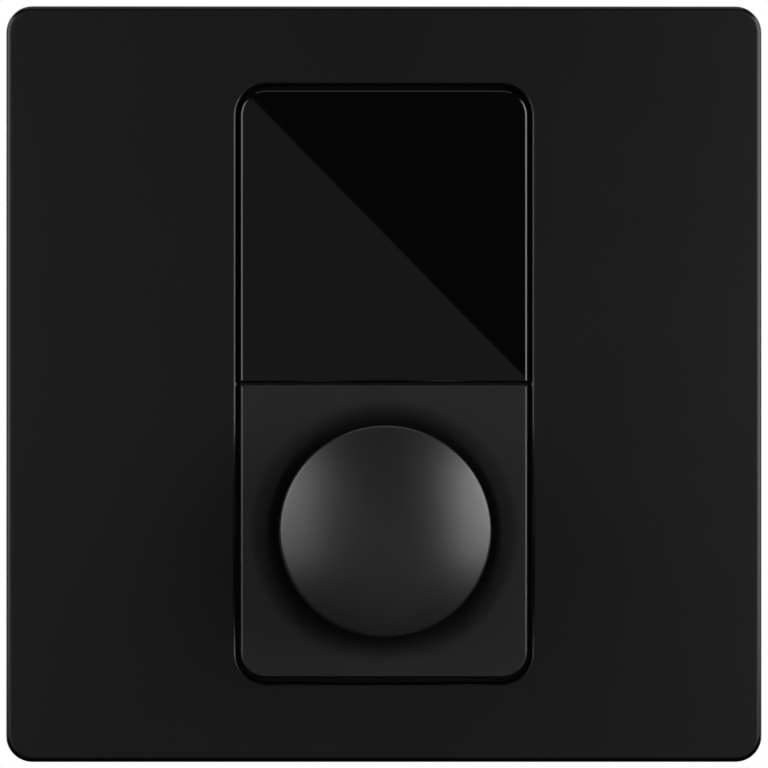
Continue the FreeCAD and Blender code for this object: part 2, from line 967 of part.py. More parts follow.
def display_ribs():
    """Ribs at both sides and above that hold the display's glass, open for its ribbon."""
    out_x = cavity_width / 2
    in_x = size.glass_width / 2 + size.glass_gap
    low = glass_low
    in_top = base_glass_rise + size.base_glass_height / 2 + size.glass_gap
    out_top = in_top + size.glass_rib_wall
    return polygon(
        (-out_x, low), (-in_x, low), (-in_x, in_top), (in_x, in_top),
        (in_x, low), (out_x, low), (out_x, out_top), (-out_x, out_top),
    )


def panel_ribs():
    """Four ribs behind the panel, from the encoder to the carrier's walls."""
    half = size.panel_rib_wall / 2
    side = size.encoder_width / 2 + size.clip_sheet + size.glass_gap
    end = size.encoder_height / 2 + size.glass_gap
    wall = cavity_width / 2
    return together(
        rectangle(side, wall, -knob_drop - half, half - knob_drop),
        rectangle(-wall, -side, -knob_drop - half, half - knob_drop),
        rectangle(-half, half, end - knob_drop, -size.bezel_wall / 2),
        rectangle(-half, half, -cavity_end, -knob_drop - end),
    )


def rear_housing():
    """Box behind the carrier, with ribs under the board, vents and the socket's opening."""
    body = new_body("rear_housing")
    shell = pad(
        body,
        housing_back,
        flange_back,
        rounded(size.housing_width, housing_height, size.housing_corner),
    )
    dress(body, "Chamfer", shell, size.housing_edge, edges_at(housing_back))
    floor = housing_back + size.housing_floor
    cut(body, floor, flange_back, middle(housing_inner_width, housing_inner_height))
    wall = (housing_inner_width + size.housing_wall) / 2
    inner = housing_inner_width / 2 - size.clamp_reach
    clamps = []
    windows = []
    for way in (-1, 1):
        low = way * size.locator_spread - size.clamp_wall / 2
        high = way * size.locator_spread + size.clamp_wall / 2
        clamps.append(rectangle(inner, wall, low, high))
        clamps.append(rectangle(-wall, -inner, low, high))
        half = size.arm_width / 2 + size.arm_gap
        middle_z = way * size.arm_spread
        windows.append(
            rectangle(-arm_catch, size.arm_gap - arm_tip, middle_z - half, middle_z + half)
        )
    pad(body, floor, board_back, together(*clamps))
    width = size.housing_width
    cut(body, -width / 2, width / 2, together(*windows), plane=SIDE)
    hole = middle(shield_width + 2 * size.jack_gap, shield_height + 2 * size.jack_gap)
    cut(body, housing_back, floor, hole, at=(0, size.jack_rise))
    first = -size.vent_pitch * (size.vents_count - 1) / 2
    vent_low = housing_back + size.vent_inset
    vent = rectangle(
        first - size.vent_width / 2,
        first + size.vent_width / 2,
        -vent_low - size.vent_length,
        -vent_low,
    )
    vents = cut(body, -housing_height / 2, housing_height / 2, vent, plane=LEVEL)
    row(body, [vents], "X_Axis", size.vent_pitch, size.vents_count)
    return body


# Lens and display


def display_lens():
    """Glossy window over the upper half, level with the panel."""
    body = new_body("display_lens")
    tile = end_rounded(size.insert_width, tile_height, size.insert_corner, 1)
    lens = pad(body, lens_back, insert_front, tile, at=(0, knob_drop))
    dress(body, "Chamfer", lens, size.insert_edge, edges_at(insert_front))
    return body


def lens_tape():
    """Adhesive frame between the lens and its shelf."""
    body = new_body("lens_tape")
    inset = 2 * size.tape_inset
    clear = 2 * size.tape_clear
    outer = middle(size.insert_width - inset, tile_height - inset)
    inner = middle(size.aperture_width + clear, size.aperture_height + clear)
    pad(body, shelf_front, lens_back, together(outer, inner), at=(0, aperture_rise))
    return body


def display_gasket():
    """Light seal between the shelf and the display."""
    body = new_body("display_gasket")
    clear = 2 * size.gasket_clear
    outer = middle(size.glass_width, size.cap_glass_height)
    inner = middle(size.aperture_width + clear, size.aperture_height + clear)
    pad(body, gasket_back, shelf_back, together(outer, inner), at=(0, aperture_rise))
    return body


def display_cap_glass():
    """Front glass of the display."""
    body = new_body("display_cap_glass")
    glass = middle(size.glass_width, size.cap_glass_height)
    pad(body, cap_glass_back, gasket_back, glass, at=(0, aperture_rise))
    return body


def display_base_glass():
    """Rear glass of the display, longer at the bottom, where the ribbon is bonded."""
    body = new_body("display_base_glass")
    glass = middle(size.glass_width, size.base_glass_height)
    pad(body, base_glass_back, cap_glass_back, glass, at=(0, base_glass_rise))
    return body


def display_foam():
    """Pad that presses the display forward."""
    body = new_body("display_foam")
    inset = 2 * size.foam_inset
    foam = middle(size.glass_width - inset, size.base_glass_height - inset)
    pad(body, holder_front, base_glass_back, foam, at=(0, base_glass_rise))
    return body


def display_holder():
    """Moulded tray on the board behind the display, open at the back."""
    body = new_body("display_holder")
    place = (0, base_glass_rise)
    tray = middle(size.glass_width, size.base_glass_height)
    pad(body, board_front, holder_front, tray, at=place)
    wall = 2 * size.holder_wall
    hollow = middle(size.glass_width - wall, size.base_glass_height - wall)
    cut(body, board_front, holder_front - size.holder_wall, hollow, at=place)
    half = size.holder_wall / 2
    end = size.base_glass_height / 2 - half
    rib = rectangle(-half, half, -end, end)
    pad(body, board_front + size.holder_wall, holder_front - half, rib, at=place)
    return body


def display_flex():
    """Ribbon from the base glass round its lower edge to the connector on the board."""
    body = new_body("display_flex")
    top = aperture_rise - size.cap_glass_height / 2 - size.flex_gap
    outside = flex_fall - size.flex
    low = board_front + size.flex_rest
    glass = cap_glass_back
    end = connector_top() - size.connector_mouth
    strip = polygon(
        (-glass, top),
        (-glass - size.flex, top),
        (-glass - size.flex, outside),
        (-low - size.flex, outside),
        (-low - size.flex, end),
        (-low, end),
        (-low, flex_fall),
        (-glass, flex_fall),
    )
    half = size.flex_width / 2
    ribbon = pad(body, -half, half, strip, plane=SIDE)
    outer = size.flex_bend + size.flex
    bends = (
        (glass + size.flex, outside, outer),
        (glass, flex_fall, size.flex_bend),
        (low + size.flex, outside, size.flex_bend),
        (low, flex_fall, outer),
    )
    for height, z, radius in bends:
        ribbon = dress(body, "Fillet", ribbon, radius, edge_along_x(height, z))
    return body


def connector_top():
    """The z of the connector's mouth, below the ribbon's fall."""
    return flex_fall - size.connector_gap


def flex_connector():
    """Connector on the board that takes the ribbon."""
    body = new_body("flex_connector")
    half = size.connector_width / 2
    high = connector_top()
    block = rectangle(-half, half, high - size.connector_depth, high)
    pad(body, board_front, board_front + size.connector_height, block)
    slot = size.flex_width / 2 + size.press_gap
    low = board_front + size.flex_rest
    mouth = rectangle(-slot, slot, high - size.connector_mouth, high)
    cut(body, low, low + size.flex, mouth)
    return body


# Board and what is on it


def control_board():
    """Circuit board, with notches for the carrier's arms and holes for pins and tabs."""
    body = new_body("control_board")
    pad(body, board_back, board_front, middle(board_width, board_height))
    pins = squares(terminal_spots, size.terminal_side + 2 * size.hole_gap)
    cut(body, board_back, board_front, pins, at=(0, -knob_drop))
    for side in (-1, 1):
        tab = middle(size.jack_sheet + 2 * size.hole_gap, size.tab_width + 2 * size.hole_gap)
        cut(body, board_back, board_front, tab, at=(side * tab_x, size.jack_rise))
        lug = middle(size.clip_sheet + 2 * size.hole_gap, size.clip_lug_width + 2 * size.hole_gap)
        cut(body, board_back, board_front, lug, at=(side * lug_x, -knob_drop))
        deep = board_width - 2 * (arm_inner - size.arm_gap)
        notch = middle(deep, size.arm_width + 2 * size.arm_gap)
        for way in (-1, 1):
            spot = (side * board_width / 2, way * size.arm_spread)
            cut(body, board_back, board_front, notch, at=spot)
    return body


def processor_chip():
    """Processor on the back of the board, with leads on its four sides."""
    body = new_body("processor_chip", at=(0, -knob_drop))
    front = board_back - size.lead_sheet
    side = size.chip_side
    pad(body, board_back - size.chip_height, front, middle(side, side))
    left = -(size.lead_pitch * (size.leads_count - 1) + size.lead_width) / 2
    end = side / 2
    lead = rectangle(left, left + size.lead_width, end - size.lead_reach, end + size.lead_reach)
    leads = pad(body, front, board_back, lead)
    rows_around(body, [leads], size.lead_pitch, size.leads_count)
    return body


def capacitors():
    """Two moulded capacitors on the back of the board."""
    body = new_body("capacitors")
    block = middle(size.capacitor_width, size.capacitor_length)
    place = (-size.capacitor_spread / 2, size.capacitor_inset - board_height / 2)
    capacitor = pad(body, board_back - size.capacitor_height, board_back, block, at=place)
    row(body, [capacitor], "X_Axis", size.capacitor_spread, 2)
    return body


def power_inductor():
    """Inductor of the power supply on the back of the board."""
    body = new_body("power_inductor", at=(side_part_x, -knob_drop))
    side = size.inductor_side
    pad(body, board_back - size.inductor_height, board_back, rounded(side, side, size.inductor_corner))
    return body


def crystal():
    """Quartz crystal in its can, beside the processor."""
    body = new_body("crystal", at=(-side_part_x, -knob_drop))
    can = middle(size.crystal_width, size.crystal_length)
    pad(body, board_back - size.crystal_height, board_back, can)
    return body


# Network socket


def jack_body():
    """Socket body: its mouth faces the rear, with the latch's channel below."""
    body = new_body("jack_body", at=(0, size.jack_rise))
    pad(body, housing_back, board_back, middle(size.jack_width, size.jack_height))
    mouth = middle(size.mouth_width, size.mouth_height)
    mouth_end = housing_back + size.mouth_depth
    cut(body, housing_back, mouth_end, mouth, at=(0, size.mouth_raise))
    low = size.mouth_raise - size.mouth_height / 2
    half = size.latch_width / 2
    cut(body, housing_back, mouth_end, rectangle(-half, half, low - size.latch_height, low))
    return body


def jack_contacts():
    """Eight spring wires under the roof of the socket's mouth."""
    body = new_body("jack_contacts", at=(0, size.jack_rise))
    roof = size.mouth_raise + size.mouth_height / 2
    wire = size.contact_wire
    start = housing_back + size.contact_setback
    end = housing_back + size.mouth_depth
    free = start + size.contact_run
    section = polygon(
        (-end, roof),
        (-end, roof - wire),
        (-start - 2 * wire, roof - wire),
        (-free, roof - size.contact_dip),
        (-free, roof - size.contact_dip - wire),
        (-start, roof - wire),
        (-start, roof),
    )
    first = -size.contact_pitch * (size.contacts_count - 1) / 2
    low = first - wire / 2
    contact = pad(body, low, low + wire, section, plane=SIDE)
    row(body, [contact], "X_Axis", size.contact_pitch, size.contacts_count)
    return body


def jack_shield():
    """Sheet-metal shield round the socket, with two tabs through the board."""
    body = new_body("jack_shield", at=(0, size.jack_rise))
    outer = middle(shield_width, shield_height)
    inner = middle(size.jack_width, size.jack_height)
    pad(body, housing_back, board_back, together(outer, inner))
    half = size.tab_width / 2
    tabs = [
        rectangle(way * tab_x - size.jack_sheet / 2, way * tab_x + size.jack_sheet / 2, -half, half)
        for way in (-1, 1)
    ]
    pad(body, board_back, board_front + size.tab_reach, together(*tabs))
    return body


# Encoder


def encoder_clip():
    """Sheet-metal frame over the encoder, with two arms whose lugs go through the board."""
    body = new_body("encoder_clip", at=(0, -knob_drop))
    inner = size.encoder_width / 2
    outer = inner + size.clip_sheet
    end = size.encoder_height / 2
    plate = pad(body, clip_back, panel_back, rectangle(-outer, outer, -end, end))
    cut(body, clip_back, panel_back, circle(bush_hole))
    arm = size.clip_arm_width / 2
    lug = size.clip_lug_width / 2
    lug_back = board_back - size.clip_lug_reach
    for low, half in ((board_front, arm), (lug_back, lug)):
        arms = together(rectangle(inner, outer, -half, half), rectangle(-outer, -inner, -half, half))
        pad(body, low, clip_back, arms)
    return body


def encoder_bushing():
    """Die-cast bushing: a flange under the clip and a barrel through the panel."""
    body = new_body("encoder_bushing", at=(0, -knob_drop))
    pad(body, bush_back, clip_back, middle(size.encoder_width, size.encoder_height))
    pad(body, clip_back, bush_front, circle(size.bush_radius))
    cut(body, bush_back, bush_front, circle(size.shaft_radius + size.running_gap))
    counterbore = circle(size.clip_radius + size.counterbore_gap)
    cut(body, bush_back, bush_back + size.counterbore_depth, counterbore)
    return body


def encoder_base():
    """Moulded cup that holds the contacts, the rotor and the push dome."""
    body = new_body("encoder_base", at=(0, -knob_drop))
    pad(body, base_back, bush_back, middle(size.encoder_width, size.encoder_height))
    cut(body, cup_floor, bush_back, circle(size.cup_radius))
    foot_x = size.encoder_width / 2 - size.foot_inset
    foot_z = size.encoder_height / 2 - size.foot_inset
    pad(body, board_front, base_back, squares(corners(foot_x, foot_z), size.foot_side))
    pins = squares(terminal_spots, size.terminal_side)
    cut(body, base_back, base_back + size.terminal_seat, pins)
    return body


def encoder_terminals():
    """Three encoder pins and two switch pins, through the board."""
    body = new_body("encoder_terminals", at=(0, -knob_drop))
    low = board_back - size.terminal_reach
    pad(body, low, base_back + size.terminal_seat, squares(terminal_spots, size.terminal_side))
    return body


def detent_spring():
    """Flat ring whose two bumps press into the rotor's grooves."""
    body = new_body("detent_spring", at=(0, -knob_drop))
    outer = size.cup_radius - size.spring_gap
    inner = outer - size.spring_width
    back = bush_back - size.spring_sheet
    pad(body, back, bush_back, together(circle(outer), circle(inner)))
    tip = rotor_front - size.detent_depth + size.bump_gap
    half = size.bump_half_width
    bump = polygon((-back, -half), (-tip, 0), (-back, half))
    edge = outer - size.spring_gap
    bumps = pad(body, inner + size.spring_gap, edge, bump, plane=SIDE)
    around(body, [bumps], 2)
    return body


def encoder_rotor():
    """Rotor with a ring of detent grooves, driven by the flats of the shaft."""
    body = new_body("encoder_rotor", at=(0, -knob_drop))
    radius = size.cup_radius - size.rotor_gap
    pad(body, rotor_back, rotor_front, circle(radius))
    half = size.detent_half_width
    groove = polygon(
        (-rotor_front, -half), (-rotor_front, half), (size.detent_depth - rotor_front, 0)
    )
    grooves = cut(body, radius - size.detent_length, radius, groove, plane=SIDE)
    around(body, [grooves], size.detents_count)
    gap = size.running_gap
    hole = two_flats(size.shaft_tail_radius + gap, size.shaft_tail_flat + gap)
    cut(body, rotor_back, rotor_front, hole)
    return body


def code_disc():
    """Contact disc under the rotor, with a ring of windows."""
    body = new_body("code_disc", at=(0, -knob_drop))
    outer = size.cup_radius - size.rotor_gap - size.disc_inset
    inner = outer - size.disc_width
    pad(body, disc_back, rotor_back, together(circle(outer), circle(inner)))
    half = size.disc_window_width / 2
    middle_radius = (outer + inner) / 2
    reach = size.disc_window_length / 2
    window = rectangle(middle_radius - reach, middle_radius + reach, -half, half)
    windows = cut(body, disc_back, rotor_back, window)
    around(body, [windows], size.disc_windows_count)
    return body


def encoder_wipers():
    """Three spring fingers that stand on the cup's floor and reach up to the code disc."""
    body = new_body("encoder_wipers", at=(0, -knob_drop))
    sheet_metal = size.wiper_sheet
    top = disc_back - size.contact_gap
    foot = cup_floor + sheet_metal
    start = -size.wiper_run
    knee = start + size.wiper_foot
    crest = knee + size.wiper_run
    tail = crest + size.wiper_tail
    finger = polygon(
        (-cup_floor, start),
        (-foot, start),
        (-foot, knee),
        (-top, crest),
        (-top + size.wiper_tail / 2, tail),
        (-top + size.wiper_tail / 2 + sheet_metal, tail),
        (-top + sheet_metal, crest),
        (-cup_floor, knee + sheet_metal / 2),
    )
    inner = size.wiper_radius
    fingers = pad(body, inner, inner + size.wiper_width, finger, plane=SIDE)
    around(body, [fingers], size.wipers_count)
    return body


def push_dome():
    """Snap dome with four arched legs on the cup's floor, which the shaft presses."""
    body = new_body("push_dome", at=(0, -knob_drop))
    reach = size.dome_radius
    rise = size.dome_rise
    ball = (reach * reach + rise * rise) / (2 * rise)
    inner_ball = ball - size.dome_sheet
    depth = cup_floor - dome_crown + ball
    inner_reach = (inner_ball * inner_ball - depth * depth).root()
    arch = polygon(
        (-reach, -cup_floor),
        (reach, -cup_floor, ball),
        (inner_reach, -cup_floor),
        (-inner_reach, -cup_floor, -inner_ball),
    )
    half = size.dome_leg / 2
    legs = pad(body, -half, half, arch, plane=LEVEL)
    around(body, [legs], 4)
    return body


def encoder_shaft():
    """Shaft: two flats drive the rotor, a groove holds the clip, one flat takes the knob."""
    body = new_body("encoder_shaft", at=(0, -knob_drop))
    radius = size.shaft_radius
    neck = radius - size.groove_depth
    groove_front = shaft_groove + size.clip_thickness
    outline = polygon(
        (0, -shaft_tail),
        (size.shaft_tail_radius, -shaft_tail),
        (size.shaft_tail_radius, -shaft_shoulder),
        (radius, -shaft_shoulder),
        (radius, -shaft_groove),
        (neck, -shaft_groove),
        (neck, -groove_front),
        (radius, -groove_front),
        (radius, size.shaft_edge - shaft_tip),
        (radius - size.shaft_edge, -shaft_tip),
        (0, -shaft_tip),
    )
    turn(body, outline)
    flat = size.shaft_tail_flat
    for low, high in ((flat, radius), (-radius, -flat)):
        cut(body, shaft_tail, shaft_shoulder, rectangle(-radius, radius, low, high))
    knob_flat = rectangle(-radius, radius, size.shaft_flat, radius)
    cut(body, shaft_tip - size.flat_length, shaft_tip, knob_flat)
    return body


def shaft_clip():
    """Open ring in the shaft's groove, which stops the shaft from coming out."""
    body = new_body("shaft_clip", at=(0, -knob_drop))
    neck = size.shaft_radius - size.groove_depth
    high = shaft_groove + size.clip_thickness
    pad(body, shaft_groove, high, together(circle(size.clip_radius), circle(neck)))
    half = size.clip_mouth / 2
    cut(body, shaft_groove, high, rectangle(-half, half, -size.clip_radius, 0))
    return body


def encoder_washer():
    """Washer under the nut."""
    body = new_body("encoder_washer", at=(0, -knob_drop))
    ring = together(circle(size.washer_radius), circle(bush_hole))
    pad(body, insert_front, insert_front + size.washer, ring)
    return body


def encoder_nut():
    """Hexagon nut on the bushing."""
    body = new_body("encoder_nut", at=(0, -knob_drop))
    low = insert_front + size.washer
    high = low + size.nut
    pad(body, low, high, hexagon(size.nut_flats))
    cut(body, low, high, circle(size.bush_radius + size.press_gap))
    return body


# Knob


def knob():
    """Domed knob: one moulding with a skirt, a hub with a flatted bore, and ribs."""
    body = new_body("knob", at=(0, -knob_drop))
    radius = size.knob_radius
    rise = size.knob_crown
    ball = (radius * radius + rise * rise) / (2 * rise)
    centre = knob_apex - ball
    inner_ball = ball - size.knob_skin
    inside = radius - size.knob_wall
    ceiling = centre + (inner_ball * inner_ball - inside * inside).root()
    hub = size.hub_radius
    edge = size.knob_edge
    rim = radius - edge
    shoulder = centre + (ball * ball - rim * rim).root()
    outline = polygon(
        (0, -knob_apex),
        (0, -hub_back),
        (hub, -hub_back),
        (hub, -ceiling),
        (inside, -ceiling),
        (inside, -knob_back),
        (radius, -knob_back),
        (radius, edge - shoulder),
        (rim - edge, -edge - shoulder),
        (rim - edge, -knob_apex),
    )
    turn(body, outline)
    half = size.knob_rib_wall / 2
    rib = rectangle(hub - half, inside + half, -half, half)
    ribs = pad(body, hub_back + size.knob_rib_drop, ceiling + half, rib)
    around(body, [ribs], size.knob_ribs_count)
    bore = one_flat(size.shaft_radius + size.press_gap, size.shaft_flat + size.leaf + size.press_gap)
    cut(body, hub_back, bore_end, bore)
    dome = polygon(
        (-radius, -(knob_edge - centre), -ball),
        (-radius, -ball - rise),
        (radius, -ball - rise),
        (radius, -(knob_edge - centre)),
    )
    sketch = new_sketch(body, dome, 0, at=(0, -centre), plane=LEVEL)
    axis = (sketch, ["H_Axis"])
    feature(body, "Groove", "Dome", Profile=sketch, ReferenceAxis=axis, Angle=90, Midplane=True)
    return body


def knob_spring():
    """Leaf between the knob's bore and the flat of the shaft."""
    body = new_body("knob_spring", at=(0, -knob_drop))
    half = size.leaf_width / 2
    low = size.shaft_flat
    leaf = rectangle(-half, half, low, low + size.leaf)
    pad(body, hub_back + size.leaf_inset, shaft_tip - size.leaf_inset, leaf)
    return body


PIECES = (
    face_plate,
    mounting_frame,
    control_bezel,
    rear_housing,
    display_lens,
    lens_tape,
    display_gasket,
    display_cap_glass,
    display_base_glass,
    display_foam,
    display_holder,
    display_flex,
    flex_connector,
    control_board,
    processor_chip,
    capacitors,
    power_inductor,
    crystal,
    jack_body,
    jack_contacts,
    jack_shield,
    encoder_clip,
    encoder_bushing,
    encoder_base,
    encoder_terminals,
    detent_spring,
    encoder_rotor,
    code_disc,
    encoder_wipers,
    push_dome,
    encoder_shaft,
    shaft_clip,
    encoder_washer,
    encoder_nut,
    knob,
    knob_spring,
)

bodies = [make() for make in PIECES]
document.recompute()

for thing in document.Objects:
    if "Invalid" in thing.State or "Error" in thing.State:
        raise RuntimeError(f"{thing.Name} of {thing.Label} failed: {thing.State}")
for body in bodies:
    if body.Shape.isNull() or not body.Shape.isValid():
        raise RuntimeError(f"{body.Label} has no valid shape")

os.makedirs("parts", exist_ok=True)
for body in bodies:
    body.Shape.exportStep(f"parts/{body.Label}.step")
    print(f"{body.Label}: {len(body.Shape.Solids)} solids, {body.Shape.Volume:.1f} mm3")
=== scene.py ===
"""Wall volume controller: a square cover with a dark window above a push-and-turn knob."""

import json
import math

import bmesh
import bpy
import numpy as np
from mathutils import Matrix, Vector


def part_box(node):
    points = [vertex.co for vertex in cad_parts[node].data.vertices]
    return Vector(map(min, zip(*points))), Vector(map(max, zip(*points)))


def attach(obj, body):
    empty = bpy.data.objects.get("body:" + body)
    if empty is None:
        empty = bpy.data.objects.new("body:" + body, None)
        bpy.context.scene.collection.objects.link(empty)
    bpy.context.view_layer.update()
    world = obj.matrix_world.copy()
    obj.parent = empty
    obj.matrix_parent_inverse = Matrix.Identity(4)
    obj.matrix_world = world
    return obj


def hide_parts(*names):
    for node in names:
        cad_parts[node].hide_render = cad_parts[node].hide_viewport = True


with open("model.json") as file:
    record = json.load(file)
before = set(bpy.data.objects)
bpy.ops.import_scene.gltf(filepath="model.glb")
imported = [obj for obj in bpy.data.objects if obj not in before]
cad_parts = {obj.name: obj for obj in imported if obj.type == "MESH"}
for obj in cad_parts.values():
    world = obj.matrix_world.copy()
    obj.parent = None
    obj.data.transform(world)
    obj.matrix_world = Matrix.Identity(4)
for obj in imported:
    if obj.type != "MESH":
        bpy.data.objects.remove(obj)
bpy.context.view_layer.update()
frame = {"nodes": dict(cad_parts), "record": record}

bl_info = {
    "name": "Wall volume controller",
    "version": (1, 0, 0),
    "blender": (4, 5, 0),
    "location": "3D View > Sidebar > Wall control",
    "description": "Dresses the packed wall volume controller and lights it",
    "category": "Object",
}

MM = 0.001
COVER_LOW, COVER_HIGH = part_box("face_plate")
INSERT_LOW, INSERT_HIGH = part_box("display_lens")
KNOB_LOW, KNOB_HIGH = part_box("knob")

# Points in a quarter turn of an outline and of an edge, along the dome and round the knob
ARC_STEPS = 14
EDGE_STEPS = 8
DOME_STEPS = 40
TURN_STEPS = 160

# Shares of the cover's side, between two corners, at which its outline has a point
SIDE_SHARES = (0.0, 0.15, 0.3, 0.7, 0.85)

# HOLD keeps a flat flat beside its round edge. SINK is how far an end is hidden in what it
# joins. CLOSE is how near two places are that count as one. NOTCH_STEP is how wide the slope
# at a notch's end is, and LEAST_CORNER the radius that a corner keeps when it moves inwards.
HOLD = 0.04 * MM
SINK = 0.3 * MM
CLOSE = 0.01 * MM
NOTCH_STEP = 0.1 * MM
LEAST_CORNER = 0.1 * MM

# How a CAD mesh is made whole, and which of its edges stay sharp
JOIN_REACH = 0.002 * MM
FLAT_ANGLE = math.radians(0.5)
SHARP_ANGLE = math.radians(32)

# A face is level, sloped or of the dish when it faces forward by more than these
LEVEL_FACING = math.cos(math.radians(1))
SLOPED_FACING = math.cos(math.radians(60))
DISH_FACING = 0.8

# How much smoother the cover is beside its front than on it
EDGE_POLISH = 0.2

# Two points of the window, across and up, on the edge of the sheen that it mirrors
SHEEN_START = (-14.95 * MM, 32.4 * MM)
SHEEN_END = (16.1 * MM, 0.68 * MM)
CARD_AHEAD = 0.3
CARD_REACH = 0.2

# The dark cards: how far before and behind the wall, to each side, above and below, in metres
FLATS = (-1.7, 0.4, 1.0, 1.0, -0.25)

# The floor: how far it reaches, how high it lies and how much of it is seen as plain white
FLOOR_REACH = 8.0
FLOOR_LEVEL = -0.26
FLOOR_GLOW = 0.65

WHITE = (1.0, 1.0, 1.0, 1.0)
SEEN_BY = ("Is Camera Ray", "Is Glossy Ray", "Is Transmission Ray")

# Each lamp's turn from the front to the right, rise, way from the middle, width and height
LAMPS = {
    "right": (40, 3, 0.2, 0.08, 0.14),
    "left": (-38, 3, 0.2, 0.08, 0.14),
    "upper_right": (40, 20, 0.3, 0.08, 0.15),
    "upper_left": (-40, 20, 0.3, 0.08, 0.15),
    "side_right": (66, 16, 0.4, 0.26, 0.3),
    "side_left": (-66, 16, 0.4, 0.26, 0.3),
    "side_top": (0, 85, 0.4, 0.34, 0.34),
    "back_right": (135, 17, 1.0, 0.5, 0.9),
    "back_left": (-135, 17, 1.0, 0.5, 0.9),
}


# Sizes and colours that a user may change


def length(name, description, default):
    """A length in metres, shown in the scene's unit."""
    return bpy.props.FloatProperty(
        name=name, description=description, default=default, min=0.0, unit="LENGTH", precision=5
    )


def brightness(name, description, default):
    """How bright a lamp's face or a backdrop is, where one is white."""
    return bpy.props.FloatProperty(name=name, description=description, default=default, min=0.0)


def tint(name, description, level):
    """A grey of a level from nought to one."""
    return bpy.props.FloatVectorProperty(
        name=name,
        description=description,
        default=(level, level, level),
        size=3,
        min=0.0,
        max=1.0,
        subtype="COLOR",
    )


class CoverSizes(bpy.types.PropertyGroup):
    """The square cover."""

    corner: length("Corner", "Radius of the square's corners", 3.0 * MM)
    edge: length("Edge", "Radius round the front face", 0.6 * MM)
    wall: length("Wall", "Thickness of the side walls", 1.8 * MM)
    skin: length("Skin", "Thickness of the front", 1.8 * MM)
    window_width: length("Window width", "Width of the opening", 33.3 * MM)
    window_height: length("Window height", "Height of the opening", 67.8 * MM)
    window_corner: length("Window corner", "Radius of the opening's corners", 3.35 * MM)
    window_edge: length("Window edge", "Radius round the opening", 0.6 * MM)
    lip_wall: length("Lip wall", "Thickness of the lip behind the opening", 1.2 * MM)
    lip_depth: length("Lip depth", "How far the lip reaches behind the skin", 2.3 * MM)
    notch_width: length("Notch width", "Width of the notch for a screwdriver", 12.0 * MM)
    notch_depth: length("Notch depth", "Depth of that notch from the wall", 1.2 * MM)
    rib_wall: length("Rib wall", "Thickness of the ribs behind the front", 1.2 * MM)
    rib_level: length("Rib level", "Height of the ribs' ends over the wall", 5.2 * MM)
    rib_spread: length("Rib spread", "From the middle to the ribs above the window", 8.0 * MM)
    rib_near: length("Inner ribs", "From the middle to the lower ribs of each side", 16.0 * MM)
    rib_far: length("Outer ribs", "From the middle to the upper ribs of each side", 32.0 * MM)
    catch: length("Catch level", "Height of the snap beads' catch over the wall", 1.6 * MM)
    bead_spread: length("Bead spread", "From the middle to a snap bead", 22.0 * MM)
    bead_length: length("Bead length", "Length of a snap bead", 10.0 * MM)
    bead_reach: length("Bead reach", "How far a snap bead stands out of the side", 0.8 * MM)
    bead_flat: length("Bead flat", "Height of a snap bead's edge", 0.4 * MM)
    bead_rise: length("Bead rise", "Height of a snap bead at the side", 1.2 * MM)


class CarrierSizes(bpy.types.PropertyGroup):
    """The lower panel and its dish."""

    bevel: length("Bevel", "Width of the bevel round the panel", 0.3 * MM)
    dish: length("Dish", "Radius at which the dish starts", 15.4 * MM)
    roll: length("Roll", "Radius with which the panel seems to roll down into it", 5.4 * MM)


class WindowSizes(bpy.types.PropertyGroup):
    """The dark window of the display."""

    corner: length("Corner", "Radius of the two upper corners", 2.9 * MM)
    foot: length("Foot", "Radius of the two lower corners", 0.25 * MM)
    edge: length("Edge", "Radius round the front face", 0.35 * MM)
    back_edge: length("Back edge", "Radius round the back face", 0.1 * MM)


class KnobSizes(bpy.types.PropertyGroup):
    """The domed knob."""

    crown: length("Crown", "How far the dome rises above its rim", 2.3 * MM)
    edge: length("Edge", "Radius between side and dome", 0.4 * MM)
    foot: length("Foot", "Radius at the skirt's end", 0.25 * MM)
    wall: length("Wall", "Thickness of the skirt", 1.8 * MM)
    skin: length("Skin", "Thickness under the dome", 1.8 * MM)
    hub: length("Hub", "Radius of the hub", 4.6 * MM)
    bore: length("Bore", "Radius of the hub's hole", 3.02 * MM)
    hub_back: length("Hub end", "Height of the hub's end over the wall", 12.6 * MM)
    bore_end: length("Bore end", "Height of the hole's end over the wall", 20.1 * MM)


class MouldingSizes(bpy.types.PropertyGroup):
    """The mounting frame and the housing behind the wall."""

    edge: length("Edge", "Width of the rounding on their edges", 0.15 * MM)


class Colours(bpy.types.PropertyGroup):
    """Colours of the pieces that show from the front."""

    cover: tint("Cover", "Colour of the cover", 0.0012)
    carrier: tint("Carrier", "Colour of the lower panel", 0.003)
    window: tint("Window", "Colour of the display's window", 0.0013)
    knob: tint("Knob", "Colour of the knob", 0.006)


class StageSettings(bpy.types.PropertyGroup):
    """Camera, lamps and backdrop."""

    distance: length("Camera distance", "From the camera to the cover's front", 3.0)
    view_width: length("View width", "Width of the picture at the cover's front", 87.37 * MM)
    camera_left: length("Camera left", "How far the camera stands to the left", 44.5 * MM)
    camera_low: length("Camera low", "How far the camera stands below the middle", 30.0 * MM)
    right: brightness("Right lamp", "Brightness of the lamp on the right", 3.4)
    left: brightness("Left lamp", "Brightness of the lamp on the left", 1.7)
    upper_right: brightness("Upper right lamp", "Brightness of the lamp at the upper right", 1.0)
    upper_left: brightness("Upper left lamp", "Brightness of the lamp at the upper left", 1.0)
    side_right: brightness("Right side lamp", "Brightness of the lamp at the right side", 4.8)
    side_left: brightness("Left side lamp", "Brightness of the lamp at the left side", 3.6)
    side_top: brightness("Top lamp", "Brightness of the lamp above", 0.8)
    back_right: brightness("Back right lamp", "Brightness of the right lamp behind", 3.0)
    back_left: brightness("Back left lamp", "Brightness of the left lamp behind", 3.0)
    card: brightness("Card", "Brightness of the card that the window mirrors", 0.18)
    ambient: brightness("Ambient", "Light from all round", 0.3)


